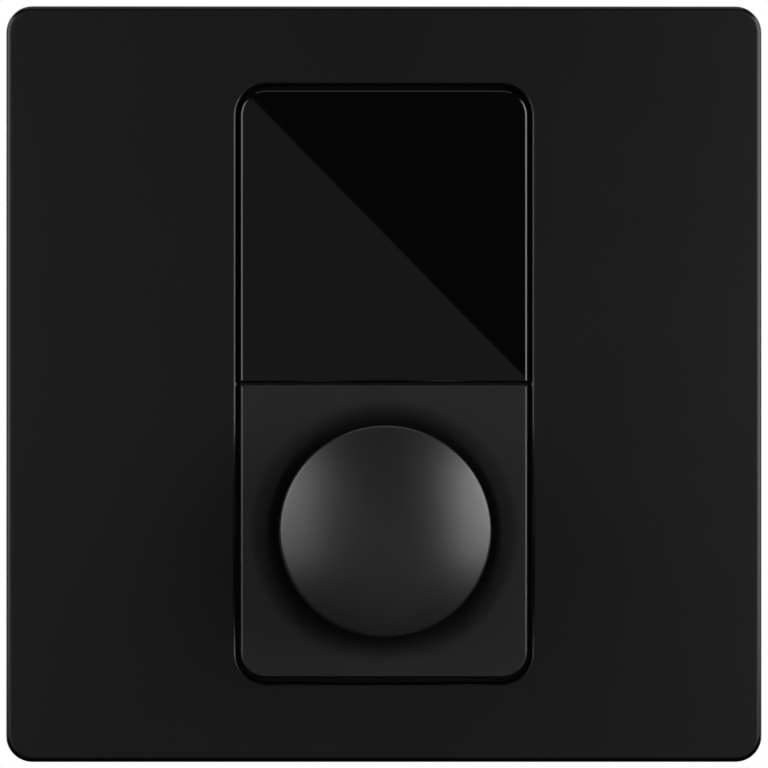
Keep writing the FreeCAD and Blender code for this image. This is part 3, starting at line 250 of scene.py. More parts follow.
# Meshes from grids of points


class Shape:
    """Points and faces of one piece, added part by part."""

    def __init__(self):
        self.points = []
        self.faces = []
        self.count = 0

    def add(self, points):
        """Adds rows of points and returns the number of the first."""
        first = self.count
        self.points.append(points.reshape(-1, 3))
        self.count += len(self.points[-1])
        return first

    def rings(self, points, closed=False):
        """Joins each ring of points to the next; closed also joins the last to the first.
        Ring i and place j are joined to i, j + 1, to i + 1, j + 1 and to i + 1, j."""
        rows, columns = points.shape[:2]
        first = self.add(points)
        i = np.arange(rows if closed else rows - 1)[:, None]
        j = np.arange(columns)[None, :]
        here = i * columns
        there = (i + 1) % rows * columns
        after = (j + 1) % columns
        quads = np.stack([here + j, here + after, there + after, there + j], axis=-1)
        self.faces += (first + quads.reshape(-1, 4)).tolist()
        return first

    def lid(self, first, columns, flipped=False):
        """One flat face over a ring that starts at a point's number."""
        ring = list(range(first, first + columns))
        self.faces.append(ring[::-1] if flipped else ring)

    def fan(self, first, columns, centre, flipped=False):
        """Triangles from a ring to one point."""
        tip = self.add(np.array(centre))
        j = np.arange(columns)
        here = first + j
        after = first + (j + 1) % columns
        turn = [after, here] if flipped else [here, after]
        self.faces += np.stack([*turn, np.full(columns, tip)], axis=-1).tolist()

    def block(self, low, high):
        """A box between two corners, each given across, up and in height."""
        x0, z0, h0 = low
        x1, z1, h1 = high
        loop = np.array([[x1, z0], [x1, z1], [x0, z1], [x0, z0]])
        points = np.stack([place(loop, h0), place(loop, h1)])
        first = self.rings(points)
        self.lid(first, 4, flipped=True)
        self.lid(first + 4, 4)

    def made(self, name):
        """The finished piece as an object, smooth where its faces meet at a small angle."""
        mesh = bpy.data.meshes.new(name)
        mesh.from_pydata(np.concatenate(self.points).tolist(), [], self.faces)
        mesh.validate()
        return shown(name, mesh)


def shown(name, mesh):
    """An object of a mesh, with smooth shading and sharp corners."""
    mesh.shade_smooth()
    mesh.set_sharp_from_angle(angle=SHARP_ANGLE)
    piece = bpy.data.objects.new(name, mesh)
    bpy.context.scene.collection.objects.link(piece)
    return piece


def place(outline, height):
    """Points across and up, put at a height in front of the wall."""
    depth = np.broadcast_to(-np.asarray(height, float), outline.shape[:1])
    return np.stack([outline[:, 0], depth, outline[:, 1]], axis=-1)


def outline(width, height, radii, middle=0.0, steps=(0.0,)):
    """Outline of a rectangle with round corners, anticlockwise from the lower end of the
    right side's upper corner. Each corner is its centre plus its radius times the cosine
    and sine of an angle that runs over a quarter turn; each side is the line from one
    corner's end to the next one's start, at the shares of its length given by steps."""
    radii = np.asarray(radii, float)[:, None]
    signs = np.array([[1, 1], [-1, 1], [-1, -1], [1, -1]])
    centres = signs * (np.array([[width, height]]) / 2 - radii)
    quarter = np.linspace(0, math.pi / 2, ARC_STEPS)
    angles = np.arange(4)[:, None] * math.pi / 2 + quarter
    rays = np.stack([np.cos(angles), np.sin(angles)], axis=-1)
    corners = centres[:, None] + radii[:, None] * rays
    starts = np.roll(corners[:, 0], -1, axis=0)
    shares = np.asarray(steps, float)[None, 1:, None]
    sides = corners[:, -1:] + (starts - corners[:, -1])[:, None] * shares
    return np.concatenate([corners, sides], axis=1).reshape(-1, 2) + [0.0, middle]


def rounded_edge(radius):
    """A rounded edge from a side to a face, as insets from the side and drops from the face.
    The inset is the radius times one less the cosine, the drop the radius times one less
    the sine. A point just beyond each end keeps the flat beside it flat."""
    angles = np.linspace(0, math.pi / 2, EDGE_STEPS)
    insets = radius * (1 - np.cos(angles))
    drops = radius * (1 - np.sin(angles))
    insets = np.concatenate([[0.0], insets, [radius + HOLD]])
    drops = np.concatenate([[radius + HOLD], drops, [0.0]])
    return insets, drops


def read(items, name, count, width):
    """A value of each item of a mesh, as rows."""
    values = np.empty(count * width)
    items.foreach_get(name, values)
    return values.reshape(count, width)


def merged_copy(name, node, rounding=0.0):
    """A CAD node's mesh as a new piece, with its loose triangles joined and its flat faces
    made whole, so that its edges can be rounded."""
    mesh = frame["nodes"][node].data.copy()
    mesh.materials.clear()
    work = bmesh.new()
    work.from_mesh(mesh)
    bmesh.ops.remove_doubles(work, verts=work.verts, dist=JOIN_REACH)
    bmesh.ops.dissolve_limit(
        work, angle_limit=FLAT_ANGLE, verts=work.verts, edges=work.edges
    )
    work.to_mesh(mesh)
    work.free()
    piece = shown(name, mesh)
    if rounding:
        bevel = piece.modifiers.new("Rounding", "BEVEL")
        bevel.width = rounding
        bevel.segments = 2
        bevel.limit_method = "ANGLE"
        bevel.angle_limit = SHARP_ANGLE
        bevel.harden_normals = True
    return piece


# Materials


class Value:
    """A socket of a shader that Python's signs work on. Each sign adds a Math node."""

    def __init__(self, nodes, socket):
        self.nodes = nodes
        self.socket = socket

    def maths(self, operation, *values):
        """A Math node of the values."""
        inputs = dict(enumerate(values))
        made = self.nodes.node("ShaderNodeMath", {"operation": operation}, inputs)
        return Value(self.nodes, made.outputs[0])

    def __add__(self, other):
        return self.maths("ADD", self, other)

    def __radd__(self, other):
        return self.maths("ADD", other, self)

    def __sub__(self, other):
        return self.maths("SUBTRACT", self, other)

    def __rsub__(self, other):
        return self.maths("SUBTRACT", other, self)

    def __mul__(self, other):
        return self.maths("MULTIPLY", self, other)

    def __rmul__(self, other):
        return self.maths("MULTIPLY", other, self)

    def __gt__(self, other):
        return self.maths("GREATER_THAN", self, other)


class Nodes:
    """The nodes of a material or a world, and the one way in which they are made."""

    def __init__(self, owner):
        owner.use_nodes = True
        self.owner = owner
        self.tree = owner.node_tree
        self.tree.nodes.clear()

    def node(self, kind, settings=None, inputs=None):
        """A node of a type: its settings first, then the values or links of its sockets."""
        made = self.tree.nodes.new(kind)
        for name, setting in (settings or {}).items():
            setattr(made, name, setting)
        for name, given in (inputs or {}).items():
            socket = given.socket if isinstance(given, Value) else given
            if isinstance(socket, bpy.types.NodeSocket):
                self.tree.links.new(socket, made.inputs[name])
            else:
                made.inputs[name].default_value = socket
        return made

    def value(self, kind, output, settings=None, inputs=None):
        """One output of a new node, as a value for sums."""
        return Value(self, self.node(kind, settings, inputs).outputs[output])

    def seen(self):
        """One where the camera, gloss or glass looks, and nought for all other light."""
        rays = self.node("ShaderNodeLightPath").outputs
        share, *others = [Value(self, rays[name]) for name in SEEN_BY]
        for other in others:
            share = share.maths("MAXIMUM", share, other)
        return share


class Finish(Nodes):
    """A new material whose patterns lie on Object coordinates."""

    def __init__(self, name):
        super().__init__(bpy.data.materials.new(name))
        self.here = self.node("ShaderNodeTexCoord").outputs["Object"]

    def noise(self, size, detail=2.0, stretch=None):
        """Noise from nought to one whose lumps are size across. A stretch below one makes
        them longer along that axis, and one above it shorter."""
        spot = self.here
        if stretch:
            inputs = {"Vector": spot, "Scale": stretch}
            spot = self.node("ShaderNodeMapping", None, inputs).outputs[0]
        inputs = {"Vector": spot, "Scale": 1.0 / size, "Detail": detail}
        return self.value("ShaderNodeTexNoise", "Fac", None, inputs)

    def cells(self, size):
        """Distance from the middle of cells that are size across."""
        inputs = {"Vector": self.here, "Scale": 1.0 / size}
        return self.value("ShaderNodeTexVoronoi", "Distance", None, inputs)

    def mixed(self, mask, first, second):
        """A colour between two, by a value from nought to one. A Mix node's sockets share
        their names, so they go by number: 0 is the factor, 6 and 7 are the colours, and 2
        is the colour that comes out."""
        inputs = {0: mask, 6: (*first, 1.0), 7: (*second, 1.0)}
        return self.node("ShaderNodeMix", {"data_type": "RGBA"}, inputs).outputs[2]

    def shades(self, mask, colour, dark, light):
        """A colour from a dark to a light shade of itself, by a value from nought to one."""
        return self.mixed(mask, scaled(colour, dark), scaled(colour, light))

    def bump(self, height, depth):
        """A normal from a height of nought to one that stands depth deep."""
        inputs = {"Height": height, "Distance": depth}
        return self.node("ShaderNodeBump", None, inputs).outputs["Normal"]

    def done(self, **inputs):
        """The shader of the surface; a socket's name is given with lines for its gaps."""
        named = {name.replace("_", " "): given for name, given in inputs.items()}
        surface = self.node("ShaderNodeBsdfPrincipled", None, named)
        self.node("ShaderNodeOutputMaterial", None, {"Surface": surface.outputs[0]})
        return self.owner


def scaled(colour, factor):
    """A colour made lighter or darker."""
    return tuple(min(1.0, part * factor) for part in colour)


def moulded(name, colour, grain, depth, roughness, sheen=0.5, front=None):
    """Moulded plastic: fine pits pressed by an eroded mould, with faint cloudy patches. Where
    the level of a front is given, only that front has the pits and the rest is smoother."""
    finish = Finish(name)
    pits = finish.cells(grain)
    fine = finish.noise(grain * 0.6, detail=3.0)
    cloud = finish.noise(14.0 * MM)
    height = pits * 0.6 + fine * 0.7
    colours = finish.shades(cloud, colour, dark=0.92, light=1.1)
    rough = roughness - 0.03 + fine * 0.06 + cloud * 0.03
    if front is not None:
        level = finish.value("ShaderNodeSeparateXYZ", "Y", None, {"Vector": finish.here})
        edge = level > front + HOLD
        height = height * (1.0 - edge)
        rough = rough - edge * EDGE_POLISH
    return finish.done(
        Base_Color=colours,
        Roughness=rough,
        Normal=finish.bump(height, depth),
        Specular_IOR_Level=sheen,
    )


def glossy(name, colour, roughness, wave):
    """Polished plastic: a very long, very shallow wave, and a faint haze of fine wiping."""
    finish = Finish(name)
    haze = finish.noise(1.2 * MM, detail=4.0, stretch=(1.0, 1.0, 3.0))
    swell = finish.noise(22.0 * MM, detail=1.0)
    colours = finish.shades(haze, colour, dark=0.9, light=1.1)
    return finish.done(
        Base_Color=colours,
        Roughness=roughness + haze * 0.01,
        Normal=finish.bump(swell, wave),
    )


def satin(name, colour, roughness, grain, depth, sheen):
    """Soft lacquer: an even low sheen over a dust-fine texture."""
    finish = Finish(name)
    dust = finish.noise(grain, detail=3.0)
    cloud = finish.noise(9.0 * MM)
    colours = finish.shades(cloud, colour, dark=0.94, light=1.06)
    return finish.done(
        Base_Color=colours,
        Roughness=roughness - 0.02 + dust * 0.04,
        Normal=finish.bump(dust, depth),
        Specular_IOR_Level=sheen,
    )


def metal(name, colour, roughness, lay, depth):
    """Plated or rolled metal: fine lines along its rolling, with duller patches."""
    finish = Finish(name)
    lines = finish.noise(0.12 * MM, detail=3.0, stretch=lay)
    stain = finish.noise(3.0 * MM, detail=3.0)
    colours = finish.shades(stain, colour, dark=0.8, light=1.08)
    return finish.done(
        Base_Color=colours,
        Roughness=roughness - 0.08 + lines * 0.1 + stain * 0.1,
        Metallic=1.0,
        Normal=finish.bump(lines, depth),
    )


def foam(name, colour, cell):
    """Closed-cell foam or tape: open little cells cut through at the surface, whose hollows are
    painted darker, as painted shade.
    """
    finish = Finish(name)
    hollows_and_painted_shade = finish.cells(cell)
    # Painted shade: the colour is darker in the hollow of each cell and lighter towards its rim
    colours = finish.shades(hollows_and_painted_shade, colour, dark=0.6, light=1.5)
    return finish.done(
        Base_Color=colours,
        Roughness=0.82 + hollows_and_painted_shade * 0.1,
        Normal=finish.bump(hollows_and_painted_shade, cell * 0.5),
    )


def circuit(name, colour, shine, spread):
    """Lacquered board or ribbon: tracks that stand slightly proud under the lacquer. Shine is
    how much lighter a track is than the rest. The tracks repeat each two pi times spread,
    because a Wave Texture's sine turns by 20 radians over its own unit."""
    finish = Finish(name)
    wander = finish.noise(5.0 * MM, detail=0.0)
    lanes = finish.value(
        "ShaderNodeTexWave",
        "Fac",
        {"wave_type": "BANDS", "bands_direction": "X"},
        {"Vector": finish.here, "Scale": 1.0 / (spread * 20.0), "Distortion": 2.0},
    )
    copper = (lanes + wander * 0.2) > 0.72
    return finish.done(
        Base_Color=finish.mixed(copper, colour, scaled(colour, shine)),
        Roughness=0.28 + wander * 0.1,
        Normal=finish.bump(copper, 0.03 * MM),
    )


# The stretch of a metal's lines: a tenth makes them ten times as long along that axis
ALONG_X = (0.1, 1.0, 1.0)
ALONG_Z = (1.0, 1.0, 0.1)
EVEN = (1.0, 1.0, 1.0)

# The finish of each material slot of the record, and its amounts
RECIPES = {
    "cover_plastic": (
        moulded,
        dict(grain=0.24 * MM, depth=0.01 * MM, roughness=0.38, sheen=0.34, front=COVER_LOW.y),
    ),
    "carrier_plastic": (
        moulded,
        dict(grain=0.22 * MM, depth=0.008 * MM, roughness=0.38, sheen=0.6),
    ),
    "frame_plastic": (moulded, dict(grain=0.35 * MM, depth=0.014 * MM, roughness=0.5)),
    "lens_plastic": (glossy, dict(roughness=0.008, wave=0.004 * MM)),
    "knob_plastic": (
        satin,
        dict(roughness=0.34, grain=0.09 * MM, depth=0.0016 * MM, sheen=0.7),
    ),
    "tape": (foam, dict(cell=0.2 * MM)),
    "foam": (foam, dict(cell=0.3 * MM)),
    "display_glass": (glossy, dict(roughness=0.03, wave=0.001 * MM)),
    "ribbon": (circuit, dict(shine=1.5, spread=0.5 * MM)),
    "connector_plastic": (moulded, dict(grain=0.3 * MM, depth=0.004 * MM, roughness=0.4)),
    "board": (circuit, dict(shine=1.6, spread=0.6 * MM)),
    "chip_resin": (moulded, dict(grain=0.1 * MM, depth=0.004 * MM, roughness=0.55)),
    "capacitor_resin": (moulded, dict(grain=0.2 * MM, depth=0.004 * MM, roughness=0.45)),
    "ferrite": (moulded, dict(grain=0.12 * MM, depth=0.008 * MM, roughness=0.62)),
    "jack_plastic": (moulded, dict(grain=0.3 * MM, depth=0.006 * MM, roughness=0.4)),
    "rotor_plastic": (moulded, dict(grain=0.3 * MM, depth=0.003 * MM, roughness=0.38)),
    "contact_brass": (metal, dict(roughness=0.28, lay=ALONG_X, depth=0.002 * MM)),
    "plated_steel": (metal, dict(roughness=0.34, lay=ALONG_Z, depth=0.003 * MM)),
    "spring_steel": (metal, dict(roughness=0.3, lay=ALONG_X, depth=0.002 * MM)),
    "die_cast": (metal, dict(roughness=0.45, lay=EVEN, depth=0.006 * MM)),
    "shaft_metal": (metal, dict(roughness=0.3, lay=EVEN, depth=0.002 * MM)),
}

# The slots whose colour the user sets
USER_COLOURS = {
    "cover_plastic": "cover",
    "carrier_plastic": "carrier",
    "lens_plastic": "window",
    "knob_plastic": "knob",
}


def finish_of(slot):
    """The material of a slot, made once; the front pieces take the user's colours."""
    name = f"{slot}_finish"
    if name in bpy.data.materials:
        return bpy.data.materials[name]
    if slot in USER_COLOURS:
        colour = getattr(bpy.context.scene.control_colours, USER_COLOURS[slot])
    else:
        materials = frame["record"]["materials"]
        colour = next(m["base_color"] for m in materials if m["slot"] == slot)
    maker, amounts = RECIPES[slot]
    return maker(name, tuple(colour[:3]), **amounts)


def dressed(piece, slot, body, *nodes):
    """Gives a new piece its finish and the body it rides on, and hides the nodes it stands for.
    """
    piece.data.materials.append(finish_of(slot))
    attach(piece, body)
    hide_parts(*nodes)


# Pieces


class CONTROL_OT_cover(bpy.types.Operator):
    """Make the square cover with its window, lip, ribs and snap beads"""

    bl_idname = "control.cover"
    bl_label = "Cover"

    def execute(self, context):
        sizes = context.scene.control_cover
        shape = Shape()
        self.shell(shape, sizes)
        self.ribs(shape, sizes)
        self.beads(shape, sizes)
        dressed(shape.made("cover_shell"), "cover_plastic", "housing", "face_plate")
        return {"FINISHED"}

    def shell(self, shape, sizes):
        """One closed surface round the cover's section, carried from the outer square to
        the window: each ring is the square or the window moved outwards by an offset, at a
        height. The front edge's offset and height are a radius times cosine and sine."""
        side = COVER_HIGH.x - COVER_LOW.x
        front = -COVER_LOW.y
        skin_back = front - sizes.skin
        straight = side - 2 * sizes.corner
        notch = sizes.notch_width / 2
        beside = np.array([-notch - NOTCH_STEP, -notch, 0.0, notch, notch + NOTCH_STEP])
        steps = np.sort(np.concatenate([SIDE_SHARES, 0.5 + beside / straight]))

        def square(inset):
            corner = max(sizes.corner - inset, LEAST_CORNER)
            return outline(side - 2 * inset, side - 2 * inset, [corner] * 4, 0.0, steps)

        def window(offset):
            width = sizes.window_width + 2 * offset
            height = sizes.window_height + 2 * offset
            return outline(width, height, [sizes.window_corner + offset] * 4, 0.0, steps)

        def rim(inset):
            edge = square(inset)
            cut = (np.abs(edge[:, 0]) <= notch + CLOSE) & (edge[:, 1] < 0)
            return place(edge, np.where(cut, sizes.notch_depth, 0.0))

        rounds = [
            place(square(inset), front - drop)
            for inset, drop in zip(*rounded_edge(sizes.edge))
        ]
        rounds += [
            place(window(inset), front - drop)
            for drop, inset in zip(*rounded_edge(sizes.window_edge))
        ]
        lip_back = skin_back - sizes.lip_depth
        rings = [
            place(square(sizes.wall), skin_back),
            rim(sizes.wall),
            rim(0.0),
            *rounds,
            place(window(0.0), lip_back),
            place(window(sizes.lip_wall), lip_back),
            place(window(sizes.lip_wall), skin_back),
        ]
        shape.rings(np.stack(rings), closed=True)

    def ribs(self, shape, sizes):
        """Straight ribs from the window's lip to the sides."""
        low = sizes.rib_level
        high = -COVER_LOW.y - sizes.skin + SINK
        half = sizes.rib_wall / 2
        near_side = sizes.window_width / 2 + SINK
        near_end = sizes.window_height / 2 + SINK
        far = COVER_HIGH.x - sizes.wall / 2
        for way in (-1, 1):
            for rise in (sizes.rib_near, sizes.rib_far):
                z = way * rise
                shape.block((near_side, z - half, low), (far, z + half, high))
                shape.block((-far, z - half, low), (-near_side, z + half, high))
            x = way * sizes.rib_spread
            shape.block((x - half, near_end, low), (x + half, far, high))
            shape.block((x - half, -far, low), (x + half, -near_end, high))

    def beads(self, shape, sizes):
        """Two beads on the inside of each side that snap under the frame's rim: a section
        carried along the lower side, and turned by quarters for the others."""
        inside = COVER_HIGH.x - sizes.wall
        tip = inside - sizes.bead_reach
        section = np.array(
            [
                [inside + SINK, sizes.catch - sizes.bead_rise],
                [tip, sizes.catch - sizes.bead_flat],
                [tip, sizes.catch],
                [inside + SINK, sizes.catch],
            ]
        )
        below = np.broadcast_to(-section[:, 0], (2, 4))
        depth = np.broadcast_to(-section[:, 1], (2, 4))
        for spot in (-sizes.bead_spread, sizes.bead_spread):
            ends = spot + np.array([-0.5, 0.5]) * sizes.bead_length
            along = np.broadcast_to(ends[:, None], (2, 4))
            for turn in np.arange(4) * math.pi / 2:
                x = along * math.cos(turn) - below * math.sin(turn)
                z = along * math.sin(turn) + below * math.cos(turn)
                first = shape.rings(np.stack([x, depth, z], axis=-1))
                shape.lid(first, 4, flipped=True)
                shape.lid(first + 4, 4)


class CONTROL_OT_carrier(bpy.types.Operator):
    """Make the moulding whose lower panel shows in the window"""

    bl_idname = "control.carrier"
    bl_label = "Carrier"

    def execute(self, context):
        sizes = context.scene.control_carrier
        carrier = merged_copy("carrier_moulding", "control_bezel")
        self.shade(carrier.data, sizes)
        dressed(carrier, "carrier_plastic", "housing", "control_bezel")
        return {"FINISHED"}

    def shade(self, mesh, sizes):
        """Normals of the panel's front. On the bevel they run from one side's normal to the
        next one's, so it shines as a rounded edge does, but under the window it stays dull.
        In the dish they lean towards the knob by the angle whose sine is the way in from
        the dish's edge over the roll."""
        corners = len(mesh.loops)
        faces = len(mesh.polygons)
        points = read(mesh.vertices, "co", len(mesh.vertices), 3)
        spots = read(mesh.loops, "vertex_index", corners, 1)[:, 0].astype(int)
        normals = read(mesh.polygons, "normal", faces, 3)
        areas = read(mesh.polygons, "area", faces, 1)
        totals = read(mesh.polygons, "loop_total", faces, 1)[:, 0].astype(int)
        owners = np.repeat(np.arange(faces), totals)
        shared = np.zeros_like(points)
        np.add.at(shared, spots, (normals * areas)[owners])
        shared /= np.linalg.norm(shared, axis=1, keepdims=True)

        front = -INSERT_LOW.y
        middle = np.array([0.0, (KNOB_HIGH.z + KNOB_LOW.z) / 2])
        across = middle - points[spots][:, [0, 2]]
        reach = np.linalg.norm(across, axis=1)
        height = -points[spots][:, 1]
        facing = -normals[owners, 1]
        ahead = height > front - sizes.bevel - CLOSE
        level = facing > LEVEL_FACING
        sloped = ~level & (facing > SLOPED_FACING)
        dish = sloped & (reach < sizes.dish + HOLD) & (facing > DISH_FACING)
        bevel = sloped & ahead & ~dish
        upper = bevel & (normals[owners, 2] > SLOPED_FACING)

        wanted = np.zeros((corners, 3))
        wanted[bevel] = shared[spots[bevel]]
        wanted[level | upper] = [0.0, -1.0, 0.0]
        lean = np.clip((sizes.dish - reach[dish]) / sizes.roll, 0, 1)
        inward = across[dish] / reach[dish, None] * lean[:, None]
        wanted[dish] = np.stack([inward[:, 0], -np.sqrt(1 - lean**2), inward[:, 1]], axis=-1)
        mesh.normals_split_custom_set(wanted.tolist())


class CONTROL_OT_window(bpy.types.Operator):
    """Make the glossy dark window over the display"""

    bl_idname = "control.window"
    bl_label = "Display window"

    def execute(self, context):
        """A slab whose outline is the same at each height, moved inwards round its front
        edge: the inset is a radius times one minus the sine, the height the cosine."""
        sizes = context.scene.control_window
        width = INSERT_HIGH.x - INSERT_LOW.x
        height = INSERT_HIGH.z - INSERT_LOW.z
        middle = (INSERT_HIGH.z + INSERT_LOW.z) / 2
        front = -INSERT_LOW.y
        back = -INSERT_HIGH.y

        def ring(inset, level):
            radii = [sizes.corner, sizes.corner, sizes.foot, sizes.foot]
            radii = [max(r - inset, LEAST_CORNER) for r in radii]
            flat = outline(width - 2 * inset, height - 2 * inset, radii, middle, (0.0, 0.5))
            return place(flat, level)

        back_inset, back_drop = rounded_edge(sizes.back_edge)
        rings = [
            ring(inset, back + drop)
            for inset, drop in zip(back_inset[::-1], back_drop[::-1])
        ]
        rings += [
            ring(inset, front - drop) for inset, drop in zip(*rounded_edge(sizes.edge))
        ]
        points = np.stack(rings)
        rows, columns = points.shape[:2]
        shape = Shape()
        first = shape.rings(points)
        shape.lid(first, columns, flipped=True)
        shape.lid(first + (rows - 1) * columns, columns)
        dressed(shape.made("display_window"), "lens_plastic", "housing", "display_lens")
        return {"FINISHED"}


class CONTROL_OT_knob(bpy.types.Operator):
    """Make the domed knob with its skirt and hub"""

    bl_idname = "control.knob"
    bl_label = "Knob"

    def execute(self, context):
        """A section turned round the shaft's axis: each point of the section has a radius
        and a height, and its ring is that radius times cosine and sine. The dome is a
        ball whose height is its centre plus the root of its radius squared less r squared."""
        sizes = context.scene.control_knob
        radius = (KNOB_HIGH.x - KNOB_LOW.x) / 2
        middle = (KNOB_HIGH.z + KNOB_LOW.z) / 2
        apex = -KNOB_LOW.y
        back = -KNOB_HIGH.y
        ball = (radius**2 + sizes.crown**2) / (2 * sizes.crown)
        centre = apex - ball

        def dome(r, size):
            return centre + np.sqrt(size**2 - r**2)

        inside = radius - sizes.wall
        ceiling = dome(inside, ball - sizes.skin)
        slope = math.asin((radius - sizes.edge) / ball)
        edge_angles = np.linspace(0, math.pi / 2 - slope, EDGE_STEPS + 3)
        edge_r = radius - sizes.edge + sizes.edge * np.cos(edge_angles)
        join_r = radius - sizes.edge + sizes.edge * math.sin(slope)
        join_h = dome(join_r, ball)
        edge_h = join_h + sizes.edge * (np.sin(edge_angles) - math.cos(slope))
        dome_r = np.linspace(join_r, 0, DOME_STEPS)[1:-1]
        foot_inset, foot_drop = rounded_edge(sizes.foot)
        section = [
            [[sizes.bore, sizes.bore_end], [sizes.bore, sizes.hub_back]],
            [[sizes.hub, sizes.hub_back], [sizes.hub, ceiling], [inside, ceiling]],
            [[inside, back]],
            np.stack([radius - foot_inset[::-1], back + foot_drop[::-1]], axis=-1),
            [[radius, edge_h[0] - HOLD]],
            np.stack([edge_r, edge_h], axis=-1),
            np.stack([dome_r, dome(dome_r, ball)], axis=-1),
        ]
        section = np.concatenate([np.asarray(part, float) for part in section])
        turns = np.linspace(0, 2 * math.pi, TURN_STEPS, endpoint=False)
        r, h = section[:, :1], section[:, 1:]
        across = r * np.cos(turns)
        up = middle + r * np.sin(turns)
        depth = np.broadcast_to(-h, across.shape)
        points = np.stack([across, depth, up], axis=-1)
        shape = Shape()
        first = shape.rings(points)
        shape.fan(first, TURN_STEPS, (0.0, -sizes.bore_end, middle), flipped=True)
        last = first + (len(section) - 1) * TURN_STEPS
        shape.fan(last, TURN_STEPS, (0.0, -apex, middle))
        dressed(shape.made("knob_cap"), "knob_plastic", "knob", "knob")
        return {"FINISHED"}


class CONTROL_OT_mouldings(bpy.types.Operator):
    """Round the edges of the frame and of the housing behind the wall"""

    bl_idname = "control.mouldings"
    bl_label = "Frame and housing"

    def execute(self, context):
        edge = context.scene.control_mouldings.edge
        mounting = merged_copy("frame_moulding", "mounting_frame", edge)
        dressed(mounting, "frame_plastic", "housing", "mounting_frame")
        housing = merged_copy("housing_moulding", "rear_housing", edge)
        dressed(housing, "frame_plastic", "housing", "rear_housing")
        return {"FINISHED"}


class CONTROL_OT_finishes(bpy.types.Operator):
    """Give every other piece of the frame its finish"""

    bl_idname = "control.finishes"
    bl_label = "Finishes"

    def execute(self, context):
        for part in frame["record"]["subparts"]:
            node = frame["nodes"][part["node"]]
            material = finish_of(part["material_slot"])
            if not node.material_slots:
                node.data.materials.append(material)
            for slot in node.material_slots:
                slot.material = material
        return {"FINISHED"}


